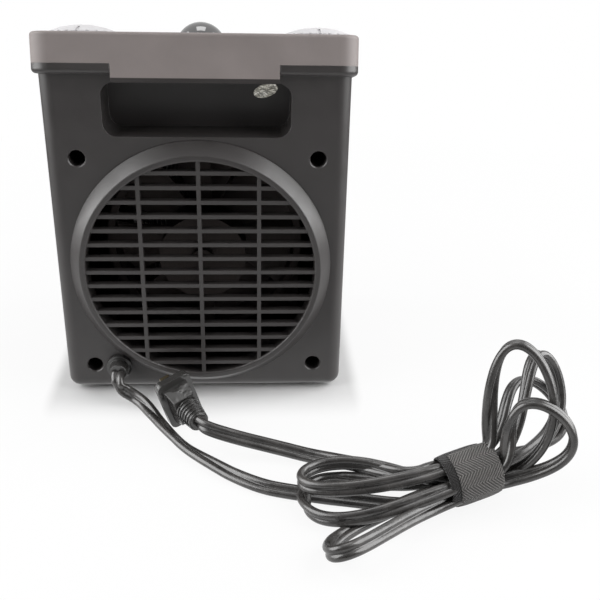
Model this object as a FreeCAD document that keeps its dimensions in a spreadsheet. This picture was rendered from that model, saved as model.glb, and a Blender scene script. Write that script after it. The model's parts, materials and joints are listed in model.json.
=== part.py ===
"""Ceramic fan heater: flared two-shell housing, leaning control cap, fan, element, cord and plug.

Millimetres, +Z up, -Y the warm-air front, +Y the intake back. The origin lies on the floor under the
middle of the housing.
"""
import FreeCAD, Part
import math
import os
import re
import Sketcher
from FreeCAD import Matrix, Placement, Rotation, Vector

doc = FreeCAD.newDocument("ceramic_heater")

# Driving sizes, in millimetres and degrees
SIZES = {
    # housing
    "body_back_width": 178.2,
    "body_front_width": 200,
    "overall_depth": 166,
    "rim_height": 211.5,
    "corner_radius": 8,
    "base_radius": 7,
    "wall": 2.5,
    "rear_shell_depth": 40,
    "fit_clearance": 0.3,
    "shaft_fit": 0.05,
    "thread_fit": 0.1,
    # cap
    "panel_slope": 12,
    "cap_overhang": 3.2,
    "cap_thickness": 17.1,
    "cap_edge_radius": 2,
    "collar_height": 5.6,
    "collar_rounding": 2.6,
    "skirt_depth": 2.5,
    "skirt_wall": 2,
    "skirt_set": 1,
    "tab_width": 95,
    "tab_drop": 10.4,
    "tab_thickness": 3.2,
    "tab_corner": 1,
    # feet
    "foot_height": 2.5,
    "foot_radius": 7,
    "foot_stem": 3,
    "foot_edge": 0.8,
    "foot_inset": 16,
    "foot_side_inset": 20,
    # carrying recess
    "recess_width": 109,
    "recess_drop": 11,
    "recess_height": 31.4,
    "recess_depth": 27,
    "recess_corner": 8,
    "foil_width": 15,
    "foil_height": 8,
    "foil_thickness": 0.2,
    "foil_tilt": 18,
    "foil_side": 40,
    "foil_drop": 9.5,
    # intake grille
    "ring_rise": 10,
    "ring_base": 6.5,
    "ring_gap": 1.8,
    "ring_side": 7.6,
    "ring_flank": 6.8,
    "ring_lip": 3.6,
    "ring_seat": 4.4,
    "ring_edge": 0.8,
    "ring_rounding": 1.2,
    "spigot_depth": 4,
    "slat_count": 15,
    "slat_cover": 0.9,
    "slat_thickness": 2.4,
    "slat_depth": 5,
    "slat_setback": 1.2,
    "slat_root": 1,
    "bar_share": 0.51,
    "bar_width": 2.4,
    # housing screws
    "screw_spacing": 142,
    "screw_inset": 11.3,
    "well_radius": 4.8,
    "well_lip": 0.7,
    "well_depth": 50,
    "well_wall": 2,
    "well_seat": 3,
    "screw_radius": 1.75,
    "screw_head_radius": 3.6,
    "screw_head_height": 2.6,
    "screw_length": 16,
    "boss_radius": 4.5,
    # cord bushing
    "bushing_rise": 16.9,
    "bushing_gap": 0.55,
    "bushing_hole": 6.1,
    "bushing_flange": 8.2,
    "bushing_flange_depth": 3,
    "bushing_nose": 6.3,
    "bushing_tip": 5.4,
    "bushing_nose_depth": 6.5,
    "bushing_catch": 7.4,
    "bushing_catch_depth": 3,
    # warm-air outlet
    "duct_width": 124,
    "duct_height": 124,
    "duct_wall": 2,
    "outlet_corner": 6,
    "bezel_border": 12,
    "bezel_lip": 3,
    "bezel_proud": 4,
    "grille_depth": 9,
    "grille_border": 6,
    "blade_count": 9,
    "blade_thickness": 1.8,
    "upright_count": 4,
    # heating element
    "element_setback": 14,
    "element_depth": 24,
    "element_border": 6,
    "bar_count": 5,
    "ceramic_height": 7,
    "fin_pitch": 6,
    "fin_thickness": 0.8,
    "fin_wave": 3,
    "fin_inset": 2,
    "lug_width": 6.3,
    "lug_thickness": 0.8,
    "lug_height": 20,
    "lug_side": 30,
    # fan
    "plate_lip": 1,
    "plate_thickness": 3,
    "shroud_wall": 2.5,
    "shroud_length": 30,
    "tip_gap": 2.5,
    "impeller_hub": 15,
    "impeller_depth": 22,
    "impeller_setback": 6.5,
    "vane_count": 7,
    "vane_thickness": 1.8,
    "vane_pitch": 66,
    "vane_foot": 15,
    "vane_chord": 54,
    "vane_root": 1,
    "bracket_thickness": 3,
    "bracket_ring": 4.5,
    "bracket_arm": 10,
    "bracket_hub": 22,
    # motor
    "can_radius": 27.5,
    "can_length": 30,
    "can_wall": 1.2,
    "stator_bore": 14.6,
    "stator_length": 18,
    "rotor_radius": 14,
    "shaft_radius": 2.5,
    "bearing_radius": 6,
    "bearing_length": 5,
    "shaft_tail": 0.5,
    "motor_clearance": 14.3,
    # controls on the cap
    "control_setback": 66,
    "control_margin": 21.5,
    "knob_radius": 22.5,
    "knob_height": 7.4,
    "knob_draft": 0.7,
    "knob_bow": 4.5,
    "knob_gap": 0.6,
    "knob_crown": 1.6,
    "knob_recess": 9.4,
    "knob_recess_depth": 3.7,
    "flute_count": 24,
    "flute_radius": 1.6,
    "flute_depth": 1.1,
    "pointer_width": 1.8,
    "pointer_length": 9,
    "pointer_depth": 0.7,
    "spindle_radius": 3,
    "spindle_depth": 9,
    "control_width": 26,
    "control_height": 16,
    "neck_radius": 5,
    "nut_radius": 7.5,
    "nut_height": 2.4,
    "neck_stub": 0.6,
    "dome_radius": 16,
    "dome_rise": 10.7,
    "stem_radius": 6,
    "stem_length": 8,
    "lamp_radius": 3,
    "lamp_length": 14,
    "lamp_cover": 2,
    # safety switches
    "cutout_width": 20,
    "cutout_length": 14,
    "cutout_height": 6,
    "cutout_margin": 12,
    "tip_width": 20,
    "tip_height": 19,
    "tip_side": 44,
    "tip_setback": 28,
    "plunger_radius": 3,
    "plunger_rest": 0.2,
    "plunger_travel": 4,
    "catch_radius": 5.2,
    "catch_thickness": 1.6,
    "catch_base": 2.5,
    # wires, cord and plug
    "wire_diameter": 2.6,
    "wire_run": 12,
    "wire_inset": 5.5,
    "wire_rise": 31,
    "wire_drop": 64,
    "wire_slack": 10,
    "wire_step": 6.5,
    "cord_thickness": 4.6,
    "strap_width": 25,
    "strap_thickness": 1.2,
    "strap_margin": 0.5,
    "bundle_radius": 12.9,
    "waist_side": 149,
    "waist_back": 119,
    "waist_rise": 17,
    "plug_plate_long": 33,
    "plug_plate_short": 22,
    "plug_plate_depth": 5.5,
    "plug_corner": 4,
    "plug_grip_long": 26,
    "plug_grip_short": 16.5,
    "plug_waist_long": 17,
    "plug_waist_short": 13.5,
    "plug_grip_depth": 11,
    "relief_radius": 7.2,
    "relief_tip": 5.2,
    "relief_length": 15.5,
    "rib_count": 6,
    "rib_height": 0.8,
    "rib_width": 1.3,
    "prong_spacing": 12.7,
    "prong_width": 6.3,
    "prong_thickness": 1.5,
    "prong_length": 15.9,
    "plug_yaw": 28,
    "plug_roll": 17,
    "plug_lift": 0.2,
    "plug_x": 15.2,
    "plug_back": 37.6,
}

# Places that follow from the sizes
PLACES = {
    "back_face": "overall_depth / 2 - ring_rise",
    "body_bottom": "foot_height",
    "floor_top": "foot_height + wall",
    "seam_height": "foot_height + rim_height",
    "cap_back": "back_face + cap_overhang",
    "front_edge": "-overall_depth / 2 + cap_thickness * sin(panel_slope)"
                  " - cap_edge_radius * (cos(panel_slope) + sin(panel_slope) - 1)",
    "cap_length": "(cap_back - front_edge) / cos(panel_slope)",
    "front_face": "front_edge + cap_overhang",
    "split_face": "back_face - rear_shell_depth",
    "recess_floor": "seam_height - recess_drop - recess_height",
    "ring_radius": "min((recess_floor - ring_gap - ring_base - body_bottom) / 2;"
                   " body_back_width / 2 - ring_side)",
    "intake_level": "body_bottom + ring_base + ring_radius",
    "crest_radius": "ring_radius - ring_flank",
    "intake_radius": "crest_radius - ring_lip",
    "spigot_radius": "ring_radius - ring_seat",
    "slat_pitch": "2 * slat_cover * intake_radius / (slat_count - 1)",
    "bar_spacing": "bar_share * intake_radius",
    "screw_rows": "2 * (ring_radius - screw_inset)",
    "bushing_level": "foot_height + bushing_rise",
    "bushing_side": "sqrt((ring_radius + bushing_flange + bushing_gap)^2 - (intake_level - bushing_level)^2)",
    "crest_face": "back_face + ring_rise",
    "well_end": "back_face - well_depth",
    "seat_face": "well_end - well_seat",
    "duct_front": "front_face + wall",
    "duct_length": "crest_face - slat_setback - slat_depth - motor_clearance - bearing_length - can_length"
                   " - bracket_thickness - shroud_length - plate_thickness - duct_front",
    "duct_back": "duct_front + duct_length",
    "plate_width": "duct_width + 2 * duct_wall + 2 * plate_lip",
    "plate_height": "duct_height + 2 * duct_wall + 2 * plate_lip",
    "shroud_radius": "min(duct_width; duct_height) / 2",
    "impeller_radius": "shroud_radius - tip_gap",
    "shroud_back": "duct_back + plate_thickness + shroud_length",
    "motor_face": "shroud_back + bracket_thickness",
    "motor_back": "motor_face + can_length",
    "impeller_front": "duct_back + impeller_setback",
    "panel_top": "cap_thickness",
    "panel_under": "cap_thickness - wall",
    "control_spread": "(body_back_width + body_front_width) / 4 - control_margin",
    "control_base": "cap_thickness - wall - control_height",
    "neck_top": "cap_thickness + nut_height + neck_stub",
    "knob_base": "cap_thickness + knob_gap",
    "knob_top": "knob_radius - knob_draft",
    "knob_sphere": "(knob_top^2 + knob_bow^2) / (2 * knob_bow)",
    "bore_top": "knob_height - knob_crown",
    "element_front": "duct_front + element_setback",
    "element_width": "duct_width - 2 * fit_clearance",
    "element_height": "duct_height - 2 * fit_clearance",
    "core_width": "element_width - 2 * element_border",
    "core_height": "element_height - 2 * element_border",
    "fin_height": "(core_height - bar_count * ceramic_height) / (bar_count + 1)",
    "duct_top": "intake_level + duct_height / 2 + duct_wall",
    "lane_side": "body_back_width / 2 - wire_inset",
    "lane_face": "back_face - rear_shell_depth + wire_run",
    "tip_face": "back_face - tip_setback",
    "hank_half": "strap_width / 2 + strap_margin",
    "plug_level": "(plug_plate_long / 2 - plug_corner) * cos(plug_roll)"
                  " + (plug_plate_short / 2 - plug_corner) * sin(plug_roll) + plug_corner + plug_lift",
}


def linked(formula, sheets=("dims", "places")):
    """A formula with each name written after the sheet that holds it."""
    names = {"dims": SIZES, "places": PLACES}

    def prefix(match):
        word = match.group(0)
        for sheet in sheets:
            if word in names[sheet]:
                return f"{sheet}.{word}"
        return word

    return re.sub(r"[a-z_]+", prefix, str(formula))


def fill_sheet(name, cells):
    """A sheet with one named cell per row."""
    sheet = doc.addObject("Spreadsheet::Sheet", name)
    for row, (alias, content) in enumerate(cells.items(), start=1):
        sheet.set(f"A{row}", alias)
        sheet.set(f"B{row}", content)
        sheet.setAlias(f"B{row}", alias)
    doc.recompute()
    return sheet


dims = fill_sheet("dims", {name: str(size) for name, size in SIZES.items()})
places = fill_sheet("places", {name: "=" + linked(text, ("dims",)) for name, text in PLACES.items()})

SIDE = Vector(1, 0, 0)
DEPTH = Vector(0, 1, 0)
UP = Vector(0, 0, 1)
SAME = 1e-6


def mm(formula):
    """The value of a formula over the sheets' names."""
    return float(places.evalExpression(linked(formula)))


def count(name):
    return round(mm(name))


def bind(piece, formulas):
    for name, formula in formulas.items():
        piece.setExpression(name, linked(formula))
    return piece


def put(piece, x=0, y=0, z=0):
    return bind(piece, {"Placement.Base.x": x, "Placement.Base.y": y, "Placement.Base.z": z})


def facing_back(piece, x=0, y=0, z=0):
    """Stands a piece made along Z along +Y instead."""
    piece.Placement = Placement(Vector(), Rotation(SIDE, -90))
    return put(piece, x, y, z)


def on_panel(piece, x=0, along=0, up=0):
    """Leans a piece with the cap: along runs back, up runs out of the panel, from the cap's back seam."""
    piece.Placement = Placement(Vector(), Rotation(SIDE, mm("panel_slope")))
    bind(piece, {"Placement.Rotation.Angle": "panel_slope"})
    return put(piece, x,
               f"cap_back + ({along}) * cos(panel_slope) - ({up}) * sin(panel_slope)",
               f"seam_height + ({along}) * sin(panel_slope) + ({up}) * cos(panel_slope)")


def block(name, x, y, z, length, width, height):
    piece = doc.addObject("Part::Box", name)
    bind(piece, {"Length": length, "Width": width, "Height": height})
    return put(piece, x, y, z)


def rod(name, radius, length):
    piece = doc.addObject("Part::Cylinder", name)
    return bind(piece, {"Radius": radius, "Height": length})


def frustum(name, front, back, low, high, front_half, back_half, back_low=None, back_high=None):
    """A block along Y whose sides draw in or out towards its back."""
    piece = doc.addObject("Part::Wedge", name)
    return bind(piece, {
        "Ymin": front, "Ymax": back, "Zmin": low, "Zmax": high,
        "Z2min": back_low or low, "Z2max": back_high or high,
        "Xmin": f"-({front_half})", "Xmax": front_half,
        "X2min": f"-({back_half})", "X2max": back_half})


def join(name, *pieces):
    piece = doc.addObject("Part::MultiFuse", name)
    piece.Shapes = list(pieces)
    return piece


def shared(name, *pieces):
    piece = doc.addObject("Part::MultiCommon", name)
    piece.Shapes = list(pieces)
    return piece


def cut(name, base, *tools):
    piece = doc.addObject("Part::Cut", name)
    piece.Base = base
    piece.Tool = tools[0] if len(tools) == 1 else join(name + "_tools", *tools)
    return piece


def group(name, pieces):
    """Like pieces that share one node, each its own solid."""
    piece = doc.addObject("Part::Compound", name)
    piece.Links = list(pieces)
    return piece


def shaped(name, shape, placement=Placement()):
    piece = doc.addObject("Part::Feature", name)
    piece.Shape = shape
    piece.Placement = placement
    return piece


def along(axis):
    """Picks the straight edges that run along an axis."""
    def chosen(edge):
        ends = [vertex.Point for vertex in edge.Vertexes]
        return len(ends) == 2 and (ends[1] - ends[0]).cross(axis).Length < SAME
    return chosen


def at_level(level):
    """Picks the edges that lie at one height."""
    def chosen(edge):
        return all(abs(vertex.Z - mm(level)) < SAME for vertex in edge.Vertexes)
    return chosen


def rounded(name, base, radius, chosen):
    doc.recompute()
    size = mm(radius)
    piece = doc.addObject("Part::Fillet", name)
    piece.Base = base
    piece.Edges = [(n, size, size) for n, edge in enumerate(base.Shape.Edges, start=1) if chosen(edge)]
    return piece


def framed(name, front, depth, width, height, corner):
    """A block with rounded corners, centred on the air path."""
    base = block(name + "_block", f"-({width}) / 2", front, f"intake_level - ({height}) / 2",
                 width, depth, height)
    return rounded(name, base, corner, along(DEPTH))


def sketch_on(body, plane, name):
    sketch = body.newObject("Sketcher::SketchObject", name)
    support = [feature for feature in body.Origin.OriginFeatures if feature.Role == plane][0]
    sketch.AttachmentSupport = (support, [""])
    sketch.MapMode = "FlatFace"
    return sketch


def hold(sketch, kind, axis, formula, index):
    """Ties one coordinate of a point to the sheets, or to the axis where it is nought."""
    if formula == "0":
        sketch.addConstraint(Sketcher.Constraint("PointOnObject", index, 1, axis))
        return
    row = sketch.addConstraint(Sketcher.Constraint(kind, -1, 1, index, 1, mm(formula)))
    sketch.setExpression(f"Constraints[{row}]", linked(formula))


def outline(sketch, corners):
    """A closed outline of straight lines through corners given as formulas."""
    points = [Vector(mm(x), mm(y), 0) for x, y in corners]
    total = len(points)
    for n in range(total):
        sketch.addGeometry(Part.LineSegment(points[n], points[(n + 1) % total]), False)
    for n in range(total):
        sketch.addConstraint(Sketcher.Constraint("Coincident", n, 2, (n + 1) % total, 1))
    for n, (x, y) in enumerate(corners):
        hold(sketch, "DistanceX", -2, x, n)
        hold(sketch, "DistanceY", -1, y, n)


def turned(name, profile):
    """A body turned about its own Z from a profile of (radius, height) formulas."""
    body = doc.addObject("PartDesign::Body", name)
    sketch = sketch_on(body, "XZ_Plane", name + "_profile")
    outline(sketch, profile)
    turn = body.newObject("PartDesign::Revolution", name + "_turn")
    turn.Profile = sketch
    turn.ReferenceAxis = (sketch, ["V_Axis"])
    turn.Angle = 360
    doc.recompute()
    return body


def ring(name, inner, outer, length):
    return turned(name, [(inner, "0"), (outer, "0"), (outer, length), (inner, length)])


# Housing: a flared body under a leaning seam, with a collar below the cap
def body_block(name, inset, low):
    return frustum(name, f"front_face + {inset}", f"back_face - {inset}", low, "seam_height + cap_thickness",
                   f"body_front_width / 2 - {inset}", f"body_back_width / 2 - {inset}")


def cap_block(name, inset, low, high):
    """The outline of cap and collar, in the panel's own frame."""
    return frustum(name, f"-cap_length + {inset}", f"-({inset})", low, high,
                   f"body_front_width / 2 + cap_overhang - ({inset})",
                   f"body_back_width / 2 + cap_overhang - ({inset})")


def housing_shell():
    outer = rounded("body_corners", body_block("body_outer", "0", "body_bottom"), "corner_radius", along(UP))
    outer = rounded("body_base", outer, "base_radius", at_level("body_bottom"))
    above = block("above_seam", 0, 0, 0, "2 * body_front_width", "3 * overall_depth", "overall_depth")
    on_panel(above, "-body_front_width", "-2 * overall_depth", 0)
    body = cut("body_under_seam", outer, above)

    collar = cap_block("collar_block", "0", "-collar_height", "0")
    collar = rounded("collar_corners", collar, "corner_radius + cap_overhang", along(UP))
    collar = rounded("collar_base", collar, "collar_rounding", at_level("-collar_height"))
    notch = block("tab_notch", "-tab_width / 2 - fit_clearance", "-tab_thickness - fit_clearance",
                  "-2 * collar_height", "tab_width + 2 * fit_clearance", "2 * tab_thickness",
                  "4 * collar_height")
    collar = on_panel(cut("collar", collar, notch))

    hollow = body_block("body_hollow", "wall", "floor_top")
    hollow = rounded("hollow_corners", hollow, "corner_radius - wall", along(UP))
    hollow = rounded("hollow_base", hollow, "base_radius - wall", at_level("floor_top"))
    return cut("housing_shell", join("housing_outer", body, collar), hollow)


def half(name, shell, start, depth):
    side = block(name + "_side", "-body_front_width", start, 0,
                 "2 * body_front_width", depth, "2 * rim_height")
    return shared(name, shell, side)


def four_corners():
    """Signs and names of the four housing screws and of the four feet."""
    return [(x, y, f"{n}") for n, (x, y) in enumerate(((-1, -1), (1, -1), (-1, 1), (1, 1)), start=1)]


def screw_place(across, rise):
    return f"{across} * screw_spacing / 2", f"intake_level + {rise} * screw_rows / 2"


def foot_place(across, back):
    if back > 0:
        return f"{across} * (body_back_width / 2 - foot_side_inset)", "back_face - foot_inset"
    return f"{across} * (body_front_width / 2 - foot_side_inset)", "front_face + foot_inset"


def foot_holes(name, wanted):
    holes = []
    for across, back, n in four_corners():
        if back == wanted:
            hole = rod(f"{name}_{n}", "foot_stem + thread_fit", "3 * wall")
            holes.append(put(hole, *foot_place(across, back), "body_bottom - wall"))
    return holes


def rear_housing(shell):
    recess = block("recess_block", "-recess_width / 2 - wall", "back_face - recess_depth - wall",
                   "recess_floor - wall", "recess_width + 2 * wall", "recess_depth + wall",
                   "recess_height + 2 * wall")
    recess = rounded("recess_walls", recess, "recess_corner + wall", along(DEPTH))
    hand = block("hand_block", "-recess_width / 2", "back_face - recess_depth", "recess_floor",
                 "recess_width", "recess_depth + cap_overhang", "recess_height")
    hand = rounded("hand_space", hand, "recess_corner", along(DEPTH))
    solids = [half("rear_shell", shell, "split_face", "overall_depth"), recess]
    holes = [hand, *foot_holes("rear_foot_hole", 1)]
    for across, rise, n in four_corners():
        x, z = screw_place(across, rise)
        tube = rod(f"well_tube_{n}", "well_radius + well_wall", "well_depth + well_seat")
        solids.append(facing_back(tube, x, "seat_face", z))
        bore = rod(f"well_bore_{n}", "well_radius", "well_depth + wall")
        holes.append(facing_back(bore, x, "well_end", z))
        mouth = doc.addObject("Part::Cone", f"well_mouth_{n}")
        bind(mouth, {
            "Radius1": "well_radius", "Radius2": "well_radius + 2 * well_lip", "Height": "2 * well_lip",
        })
        holes.append(facing_back(mouth, x, "back_face - well_lip", z))
        hole = rod(f"well_hole_{n}", "screw_radius + fit_clearance", "3 * well_seat")
        holes.append(facing_back(hole, x, "seat_face - well_seat", z))
    intake = rod("intake_hole", "spigot_radius + fit_clearance", "4 * wall")
    holes.append(facing_back(intake, 0, "back_face - 2 * wall", "intake_level"))
    cord = rod("cord_hole", "bushing_hole", "4 * wall")
    holes.append(facing_back(cord, "bushing_side", "back_face - 2 * wall", "bushing_level"))
    plunger = rod("plunger_hole", "plunger_radius + fit_clearance", "3 * wall")
    holes.append(put(plunger, "-tip_side", "tip_face", "body_bottom - wall"))
    return cut("rear_housing", join("rear_solid", *solids), *holes)


def front_housing(shell):
    solids = [half("front_shell", shell, "split_face - 2 * overall_depth", "2 * overall_depth")]
    outlet = framed("outlet_hole", "front_face - wall", "3 * wall",
                    "duct_width", "duct_height", "outlet_corner")
    holes = [outlet, *foot_holes("front_foot_hole", -1)]
    for across, rise, n in four_corners():
        x, z = screw_place(across, rise)
        boss = rod(f"boss_{n}", "boss_radius", "seat_face - front_face - wall / 2")
        solids.append(facing_back(boss, x, "front_face + wall / 2", z))
        hole = rod(f"boss_hole_{n}", "screw_radius + thread_fit", "screw_length")
        holes.append(facing_back(hole, x, "seat_face + well_seat - screw_length", z))
    return cut("front_housing", join("front_solid", *solids), *holes)


def top_cap():
    outer = cap_block("cap_block", "0", "0", "cap_thickness")
    outer = rounded("cap_corners", outer, "corner_radius + cap_overhang", along(UP))
    outer = rounded("cap_edge", outer, "cap_edge_radius", at_level("cap_thickness"))
    hollow = cap_block("cap_hollow_block", "wall", "-wall", "panel_under")
    hollow = rounded("cap_hollow", hollow, "corner_radius + cap_overhang - wall", along(UP))

    skirt_inset = "cap_overhang + wall + fit_clearance + skirt_set"
    skirt = cap_block("skirt_block", skirt_inset, "-skirt_depth", "panel_under + wall / 2")
    inside = cap_block("skirt_inside", skirt_inset + " + skirt_wall", "-2 * skirt_depth", "cap_thickness")
    skirt = cut("cap_skirt", rounded("skirt_corners", skirt, "corner_radius - wall - skirt_set", along(UP)),
                rounded("skirt_hollow", inside, "corner_radius - wall - skirt_set - skirt_wall", along(UP)))

    tab = block("tab_block", "-tab_width / 2", "-tab_thickness", "-tab_drop",
                "tab_width", "tab_thickness", "tab_drop + wall")

    def lower_corner(edge):
        return along(DEPTH)(edge) and at_level("-tab_drop")(edge)

    tab = rounded("cap_tab", tab, "tab_corner", lower_corner)
    holes = []
    for name, x in (("thermostat", "-control_spread"), ("selector", "control_spread")):
        hole = rod(name + "_hole", "neck_radius + fit_clearance", "3 * wall")
        holes.append(put(hole, x, "-control_setback", "panel_under - wall"))
    hole = rod("pilot_hole", "stem_radius + fit_clearance", "3 * wall")
    holes.append(put(hole, 0, "-control_setback", "panel_under - wall"))
    shell = cut("cap_shell", outer, hollow)
    return on_panel(cut("top_cap", join("cap_solid", shell, skirt, tab), *holes))


def rear_grille():
    rise = "spigot_depth + ring_rise"
    rim = turned("grille_ring", [
        ("intake_radius", "0"), ("spigot_radius", "0"), ("spigot_radius", "spigot_depth"),
        ("ring_radius", "spigot_depth"), ("ring_radius", "spigot_depth + ring_edge"),
        ("crest_radius", rise), ("intake_radius", rise)])
    turn = rim.Tip
    crest = [f"Edge{n}" for n, edge in enumerate(turn.Shape.Edges, start=1) if at_level(rise)(edge)]
    soften = rim.newObject("PartDesign::Fillet", "grille_crest")
    soften.Base = (turn, crest)
    bind(soften, {"Radius": "ring_rounding"})
    facing_back(rim, 0, "back_face - spigot_depth", "intake_level")

    bars = []
    front = "crest_face - slat_setback - slat_depth"
    reach = "intake_radius + slat_root"
    slats = count("slat_count")
    for n in range(slats):
        level = f"intake_level + {n - (slats - 1) / 2} * slat_pitch - slat_thickness / 2"
        bars.append(block(f"slat_{n + 1}", f"-({reach})", front, level,
                          f"2 * ({reach})", "slat_depth", "slat_thickness"))
    for n in (-1, 0, 1):
        bars.append(block(f"bar_{n + 2}", f"{n} * bar_spacing - bar_width / 2", front,
                          f"intake_level - ({reach})", "bar_width", "slat_depth", f"2 * ({reach})"))
    space = facing_back(rod("grille_space", reach, "ring_rise"), 0, "back_face", "intake_level")
    return join("rear_grille", rim, shared("grille_lattice", join("grille_bars", *bars), space))


def front_grille():
    width, height = "element_width", "element_height"
    corner = "outlet_corner - fit_clearance"
    border = framed("grille_outer", "front_face", "grille_depth", width, height, corner)
    inner = framed("grille_inner", "front_face - wall", "2 * grille_depth",
                   f"{width} - 2 * grille_border", f"{height} - 2 * grille_border", "wall")
    bars = [cut("grille_border_ring", border, inner)]
    blades = count("blade_count")
    for n in range(1, blades + 1):
        level = f"intake_level - {height} / 2 + {n} * {height} / ({blades} + 1) - blade_thickness / 2"
        bars.append(block(f"louvre_{n}", f"-{width} / 2 + grille_border / 2", "front_face + wall", level,
                          f"{width} - grille_border", "grille_depth - wall", "blade_thickness"))
    uprights = count("upright_count")
    for n in range(1, uprights + 1):
        side = f"-{width} / 2 + {n} * {width} / ({uprights} + 1) - blade_thickness / 2"
        low = f"intake_level - {height} / 2 + grille_border / 2"
        bars.append(block(f"upright_{n}", side, "front_face + wall", low,
                          "blade_thickness", "grille_depth - wall", f"{height} - grille_border"))
    return join("front_grille", *bars)


def front_bezel():
    outer = framed("bezel_outer", "front_face - bezel_proud", "bezel_proud", "duct_width + 2 * bezel_border",
                   "duct_height + 2 * bezel_border", "outlet_corner + bezel_border")
    inner = framed("bezel_inner", "front_face - 2 * bezel_proud", "3 * bezel_proud",
                   "duct_width - 2 * bezel_lip", "duct_height - 2 * bezel_lip", "outlet_corner")
    return cut("front_bezel", outer, inner)


def rubber_feet():
    feet = []
    for across, back, n in four_corners():
        foot = turned(f"foot_{n}", [
            ("0", "0"), ("foot_radius - foot_edge", "0"), ("foot_radius", "foot_edge"),
            ("foot_radius", "foot_height"), ("foot_stem", "foot_height"), ("foot_stem", "floor_top"),
            ("0", "floor_top")])
        feet.append(put(foot, *foot_place(across, back), 0))
    return group("rubber_feet", feet)


def housing_screws():
    screws = []
    for across, rise, n in four_corners():
        head = "screw_length + screw_head_height"
        screw = turned(f"screw_{n}", [
            ("0", "0"), ("screw_radius", "0"), ("screw_radius", "screw_length"),
            ("screw_head_radius", "screw_length"), ("screw_head_radius", head), ("0", head)])
        x, z = screw_place(across, rise)
        screws.append(facing_back(screw, x, "well_end - screw_length", z))
    return group("housing_screws", screws)


def cord_bushing():
    neck = "bushing_catch_depth + wall"
    nose = neck + " + bushing_flange_depth"
    tip = nose + " + bushing_nose_depth"
    bushing = turned("cord_bushing", [
        ("0", "0"), ("bushing_catch", "0"), ("bushing_catch", "bushing_catch_depth"),
        ("bushing_hole - fit_clearance", "bushing_catch_depth"), ("bushing_hole - fit_clearance", neck),
        ("bushing_flange", neck), ("bushing_flange", nose), ("bushing_nose", nose), ("bushing_tip", tip),
        ("0", tip)])
    return facing_back(bushing, "bushing_side", "back_face - wall - bushing_catch_depth", "bushing_level")


def recess_foil():
    oval = Part.Ellipse(Vector(), mm("foil_width / 2"), mm("foil_height / 2"))
    solid = Part.Face(Part.Wire(oval.toShape())).extrude(UP * mm("foil_thickness"))
    level = mm("recess_floor + recess_height - foil_drop")
    base = Vector(-mm("foil_side"), mm("back_face - recess_depth"), level)
    lean = Rotation(SIDE, -90).multiply(Rotation(UP, mm("foil_tilt")))
    return shaped("recess_foil", solid, Placement(base, lean))


# Air path: duct, element, fan and motor, all on the intake's axis
def air_duct():
    outer = framed("duct_outer", "duct_front", "duct_length", "duct_width + 2 * duct_wall",
                   "duct_height + 2 * duct_wall", "outlet_corner + duct_wall")
    inner = framed("duct_inner", "duct_front - wall", "duct_length + 2 * wall", "duct_width", "duct_height",
                   "outlet_corner")
    slots = []
    for side in (-1, 1):
        slots.append(lug_block(f"lug_slot_{side + 2}", side, "fit_clearance"))
    return cut("air_duct", outer, inner, *slots)


def lug_block(name, side, room):
    """A lug through the duct's top, or with room around it the slot that it passes."""
    return block(name, f"{side} * lug_side - lug_width / 2 - {room}",
                 f"element_front + element_depth / 2 - lug_thickness / 2 - {room}",
                 "intake_level + element_height / 2", f"lug_width + 2 * {room}",
                 f"lug_thickness + 2 * {room}", "lug_height")


def element_lugs():
    return group("element_lugs", [lug_block(f"lug_{side + 2}", side, "0") for side in (-1, 1)])


def element_frame():
    outer = framed("element_outer", "element_front", "element_depth", "element_width", "element_height",
                   "outlet_corner - fit_clearance")
    inner = block("element_inner", "-core_width / 2", "element_front - wall",
                  "intake_level - core_height / 2",
                  "core_width", "element_depth + 2 * wall", "core_height")
    return cut("element_frame", outer, inner)


def ceramic_bars():
    bars = []
    for n in range(count("bar_count")):
        level = f"intake_level - core_height / 2 + {n + 1} * fin_height + {n} * ceramic_height"
        bars.append(block(f"ceramic_{n + 1}", "-core_width / 2", "element_front + fin_inset", level,
                          "core_width", "element_depth - 2 * fin_inset", "ceramic_height"))
    return group("ceramic_bars", bars)


def ribbon(path, thickness):
    """The closed outline of a strip that follows a square-cornered path."""
    half_width = thickness / 2
    normals = [UP.cross(b - a).normalize() for a, b in zip(path[:-1], path[1:])]
    joints = [normals[0]] + [a + b for a, b in zip(normals[:-1], normals[1:])] + [normals[-1]]
    upper = [point + joint * half_width for point, joint in zip(path, joints)]
    lower = [point - joint * half_width for point, joint in zip(path, joints)]
    return upper + lower[::-1]


def fin_packs():
    """Corrugated strips between the ceramic bars, each pressed from one ribbon with a bend half way."""
    thickness = mm("fin_thickness")
    step = mm("fin_pitch / 2")
    folds = int(mm("core_width - fin_thickness - fin_wave") / step)
    start = -(folds * step + mm("fin_wave")) / 2
    low, high = thickness / 2, mm("fin_height") - thickness / 2
    path = []
    for n in range(folds):
        level = low if n % 2 == 0 else high
        path += [Vector(start + n * step, level, 0), Vector(start + (n + 1) * step, level, 0)]
    points = ribbon(path, thickness)
    entry = Part.Face(Part.makePolygon(points + points[:1]))
    to_bend = Vector(mm("fin_wave"), 0, mm("element_depth / 2 - fin_inset"))
    from_bend = Vector(-to_bend.x, 0, to_bend.z)
    strip = entry.extrude(to_bend).fuse(entry.translated(to_bend).extrude(from_bend)).removeSplitter()
    packs = []
    for n in range(count("bar_count") + 1):
        level = mm(f"intake_level - core_height / 2 + {n} * (fin_height + ceramic_height)")
        base = Vector(0, mm("element_front + element_depth - fin_inset"), level)
        packs.append(shaped(f"fin_pack_{n + 1}", strip, Placement(base, Rotation(SIDE, 90))))
    return group("fin_packs", packs)


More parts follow.
